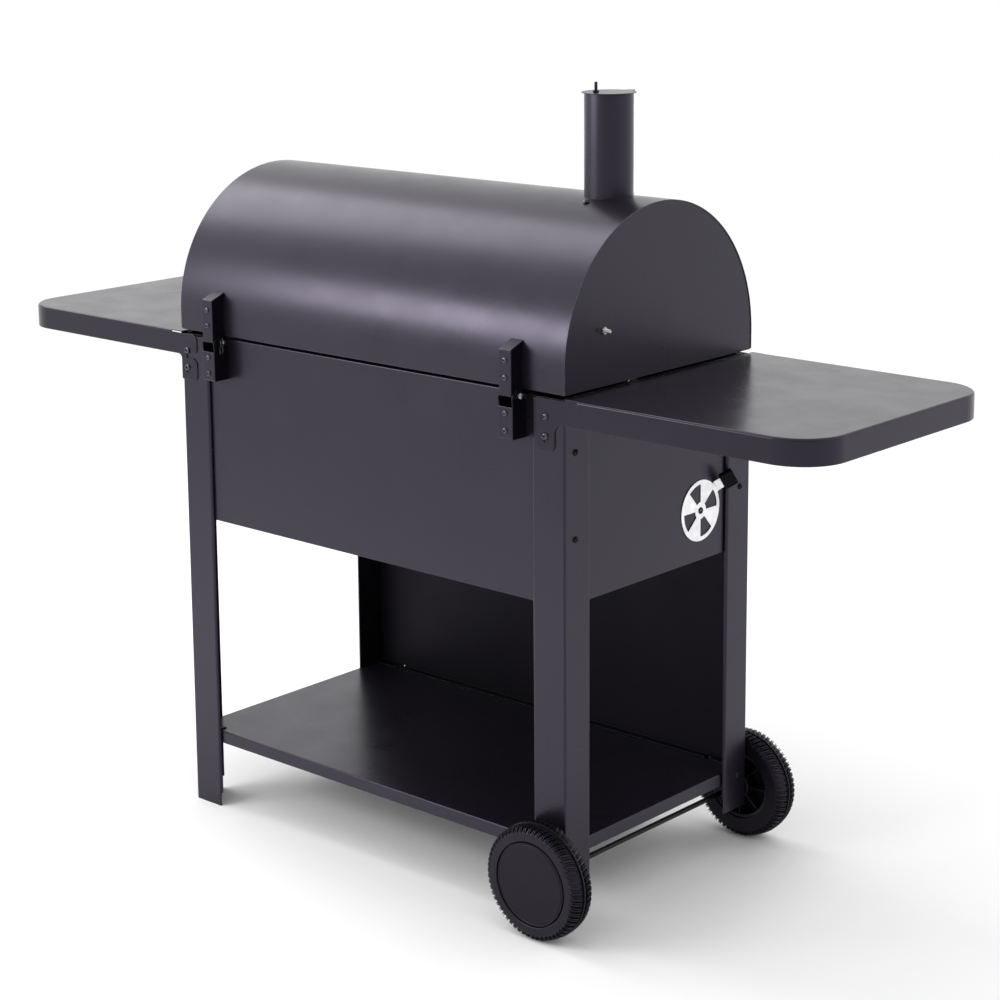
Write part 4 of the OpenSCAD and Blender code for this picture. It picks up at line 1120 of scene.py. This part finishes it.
gauge_place = on_crown(GAUGE_ANGLE) @ shift(z=0.05)
case_profile = [(2.0, -70), (2.0, -16), (6, -16), (6, -0.5), (36.5, 0), (37.6, 0.6), (38, 1.6), (38, 9.5),
                (37.6, 11.0), (36.8, 11.8), (36.0, 12), (35.3, 11.7), (35.0, 11.0), (35.0, 4), (0.8, 4)]
piece("thermometer_case_spun", lathe(case_profile, 96).at(gauge_place), "thermometer_case", sharp=24)
lens_profile = [(0.6, 9.1), (34.7, 9.1), (34.9, 9.4), (34.9, 10.0), (34.2, 10.6), (20, 10.9), (0.6, 11.0)]
piece("thermometer_lens_glass", lathe(lens_profile, 72).at(gauge_place), "thermometer_lens")
dial = lathe([(0.6, 4.05), (34.6, 4.05), (34.6, 4.6), (0.6, 4.6)], 72)
piece("thermometer_dial", dial.at(gauge_place), "thermometer_case", material=DIAL_WHITE)
marks = Mesh()
for k in range(31):
    inner_r = 28.5 if k % 5 == 0 else 31
    tick = slab([[(inner_r, -0.35), (33, -0.35), (33, 0.35), (inner_r, 0.35)]], 0.2, 0)
    marks.join(tick, turn(225 - 9 * k, "Z") @ shift(z=4.72))
needle_outline = [(-9, -1.1), (0, -1.8), (27, -0.3), (27, 0.3), (0, 1.8), (-9, 1.1)]
needle = slab([rounded(needle_outline, 0.2, steps=2)], 0.6, 0.1)
marks.join(needle, turn(200, "Z") @ shift(z=6.2))
marks.join(lathe([(0.4, 4.6), (2.6, 4.6), (2.6, 6.8), (1.6, 7.2), (0.4, 7.2)], 24))
piece("thermometer_marks", marks.at(gauge_place), "thermometer_case", material=DIAL_BLACK)


# ---- grates, rails and racks ----
def grate(node, wire, frame_wire):
    """A welded wire grate: a frame rod, cross rods underneath and a row of wires on top."""
    low, high = span(node)
    x0, x1 = low.x + frame_wire, high.x - frame_wire
    y0, y1 = low.y + frame_wire, high.y - frame_wire
    mid = low.z + frame_wire
    corner = rounded([(x0, y0), (x1, y0), (x1, y1), (x0, y1)], 8)
    m = rods([[(x, y, mid) for x, y in corner]], frame_wire, 3, cyclic=True)
    count = 24
    paths = []
    for k in range(1, count):
        x = x0 + (x1 - x0) * k / count
        paths.append([(x, y0, high.z - wire), (x, y1, high.z - wire)])
    m.join(rods(paths, wire, 2))
    cross = []
    for k in (1, 2):
        y = y0 + (y1 - y0) * k / 3
        cross.append([(x0, y, low.z + wire), (x1, y, low.z + wire)])
    m.join(rods(cross, wire, 2))
    piece(node + "_wire", m, node)


grate("charcoal_grate", 2.4, 2.6)
grate("cooking_grate_left", 2.1, 2.5)
grate("cooking_grate_right", 2.1, 2.5)

rail_high = span("grate_rails")[1]
rail_parts = Mesh()
for z in (742, 574):
    for s in (-1, 1):
        y1 = rail_high.y - 0.75
        profile = rounded([(y1 - 15.2, z - 0.75), (y1, z - 0.75), (y1, z - 13.5)], [0, 1.5, 0], False)
        angle = folded(profile, [-rail_high.x, rail_high.x])
        flip = IDENTITY if s > 0 else FLIP_Y
        rail_parts.join(angle, flip @ yz(0))
piece("grate_rails_folded", rail_parts, "grate_rails", sheet=SHEET, bevel=0.3)

rack_top = STUD_Z + 8
rack_y0, rack_y1 = SUPPORT_Y - 40, STUD_Y + 8
rack = Mesh()
hanger_outline = [(rack_y0, rack_top - 6), (SUPPORT_Y - 7, rack_top - 6)]
hanger_outline += arc(SUPPORT_Y, SUPPORT_Z, 7, 180, 360, 12) + [(SUPPORT_Y + 7, rack_top - 6)]
hanger_outline += [(STUD_Y - 6.5, rack_top - 6)] + arc(STUD_Y, STUD_Z, 7, 200, 355, 12)
hanger_outline += [(rack_y1, rack_top - 6), (rack_y1, rack_top), (rack_y0, rack_top)]
for place in BOTH_ENDS:
    hanger = slab([hanger_outline, arc(STUD_Y, STUD_Z, 3.1, 0, 345, 18)], 3, 0.5, yz(RACK_X - 1.5))
    rack.join(hanger, place)
    support = lathe([(2.1, 0), (2.5, 0.4), (2.5, LINK_X - RACK_X + 4.6), (2.1, LINK_X - RACK_X + 5)], 24)
    rack.join(support, place @ outward((1, 0, 0), (RACK_X - 2, SUPPORT_Y, SUPPORT_Z)))
long_wires = [[(-RACK_X + 2, y, rack_top - 3.2), (RACK_X - 2, y, rack_top - 3.2)]
              for y in (rack_y0 + 2.4, (rack_y0 + rack_y1) / 2, rack_y1 - 2.4)]
rack.join(rods(long_wires, 2.4, 2))
short_wires = []
for k in range(1, 40):
    x = -RACK_X + k * 2 * RACK_X / 40
    short_wires.append([(x, rack_y0 + 0.5, rack_top - 1.5), (x, rack_y1 - 0.5, rack_top - 1.5)])
rack.join(rods(short_wires, 1.5, 2))
piece("warming_rack_wire", rack, "warming_rack")

dy, dz = SUPPORT_Y - LINK_Y, SUPPORT_Z - LINK_Z
link_len = math.hypot(dy, dz)
link_turn = math.degrees(math.atan2(dz, dy))
link_outline = arc(link_len, 0, 7, -90, 90, 14) + arc(0, 0, 7, 90, 270, 14)
link_holes = [arc(link_len, 0, 3.0, 0, 345, 18), arc(0, 0, 3.1, 0, 345, 18)]
for place, node in ((IDENTITY, "rack_link_foot_side"), (FLIP_X, "rack_link_wheel_side")):
    link = slab([link_outline] + link_holes, 3, 0.5)
    local = yz(LINK_X - 1.5) @ shift(LINK_Y, LINK_Z) @ turn(link_turn, "Z")
    piece(node + "_bar", link.at(place @ local), node)

link_pin = [(3, 0), (3, 0.7), (5.5, 0.8), (5.5, 2.7), (3, 2.8), (3, 6.3), (5.5, 6.3), (5.5, 8.5), (3, 8.5),
            (3, 9.1), (5.5, 9.1), (5.5, 11), (3.2, 11.2), (3, 14)]
link_pins = both_ends(lathe(link_pin, 28).at(outward((1, 0, 0), (LINK_X - 6, LINK_Y, LINK_Z))))
piece("rack_link_pins_turned", link_pins, "rack_link_pins")

pad = lathe([(5.2, 0), (6, 0.6), (6, 4.2), (5.2, 5.0)], 36)
pad_places = [shift(s * 300, -(PY - 8), RIM_Z) for s in (-1, 1)]
piece("lid_rest_pads_rubber", gather([(pad, p) for p in pad_places]), "lid_rest_pads")

# the CAD nodes that stay: hidden nuts and the flue's saddle
for name, node in frame["nodes"].items():
    if node.hide_render:
        continue
    node.data.materials.clear()
    node.data.materials.append(FINISH[SLOT[name]])


# ---- stage, light and camera ----
FLOOR_HALF = 40000


def stage_floor():
    bm = bmesh.new()
    bmesh.ops.create_grid(bm, x_segments=2, y_segments=2, size=FLOOR_HALF * MM)
    data = bpy.data.meshes.new("floor")
    bm.to_mesh(data)
    bm.free()
    floor = placed("floor", data)
    n = Nodes("floor_paint")
    n.colour(n.mix(n.spread(n.noise(2), 0.0, 1.0), (0.91, 0.91, 0.915), (0.93, 0.93, 0.93)))
    n.set(Roughness=0.9, Specular_IOR_Level=0.1)
    data.materials.append(n.material)


def soft_box(name, at, target, size, watts):
    light = bpy.data.lights.new(name, "AREA")
    light.shape = "RECTANGLE"
    light.size, light.size_y = size
    light.energy = watts
    lamp = placed(name, light)
    lamp.location = at
    lamp.rotation_mode = "QUATERNION"
    lamp.rotation_quaternion = (Vector(target) - Vector(at)).to_track_quat("-Z", "Y")


def studio_world(white, shaded, dark_side):
    """A white room that gets darker towards one side, which only reflections show."""
    world = bpy.data.worlds.new("studio")
    bpy.context.scene.world = world
    world.use_nodes = True
    tree = world.node_tree
    where = tree.nodes.new("ShaderNodeTexCoord")
    facing = tree.nodes.new("ShaderNodeVectorMath")
    facing.operation = "DOT_PRODUCT"
    facing.inputs[1].default_value = dark_side
    fade = tree.nodes.new("ShaderNodeMapRange")
    fade.interpolation_type = "SMOOTHSTEP"
    for socket, value in (("From Min", 0.60), ("From Max", 0.98), ("To Min", white), ("To Max", shaded)):
        fade.inputs[socket].default_value = value
    seen = tree.nodes.new("ShaderNodeLightPath")
    choose = tree.nodes.new("ShaderNodeMix")
    choose.inputs[3].default_value = white
    background = tree.nodes["Background"]
    background.inputs["Color"].default_value = (1, 1, 1, 1)
    tree.links.new(where.outputs["Generated"], facing.inputs[0])
    tree.links.new(facing.outputs["Value"], fade.inputs["Value"])
    tree.links.new(seen.outputs["Is Camera Ray"], choose.inputs[0])
    tree.links.new(fade.outputs["Result"], choose.inputs[2])
    tree.links.new(choose.outputs[0], background.inputs["Strength"])


stage_floor()
studio_world(white=1.15, shaded=0.35, dark_side=(-0.665, 0.747, 0.0))
bpy.context.scene.view_settings.view_transform = "Standard"

soft_box("strip", (1.0, 1.75, 1.3), (0, 0.2, 0.87), (1.2, 0.5), 18)
soft_box("overhead", (1.7, 0.1, 2.6), (0, 0, 0.9), (1.2, 2.2), 27)

azimuth, elevation, roll = math.radians(221.677), math.radians(11.162), math.radians(-0.4157)
back = Vector((math.sin(azimuth) * math.cos(elevation), -math.cos(azimuth) * math.cos(elevation),
               math.sin(elevation)))
right = Vector((math.cos(azimuth), math.sin(azimuth), 0))
up = back.cross(right)
camera_right = math.cos(roll) * right + math.sin(roll) * up
camera_up = -math.sin(roll) * right + math.cos(roll) * up
camera_data = bpy.data.cameras.new("camera")
camera = placed("camera", camera_data)
camera_data.lens = 85.22
camera_data.sensor_width = 36
camera_data.shift_y = -0.15
camera_target, camera_distance = Vector((-0.0858, 0, 0.7865)), 3.63398
camera.matrix_world = basis(camera_right, camera_up, back, camera_target + camera_distance * back)
camera_data.clip_start, camera_data.clip_end = 0.05, 60
bpy.context.scene.camera = camera
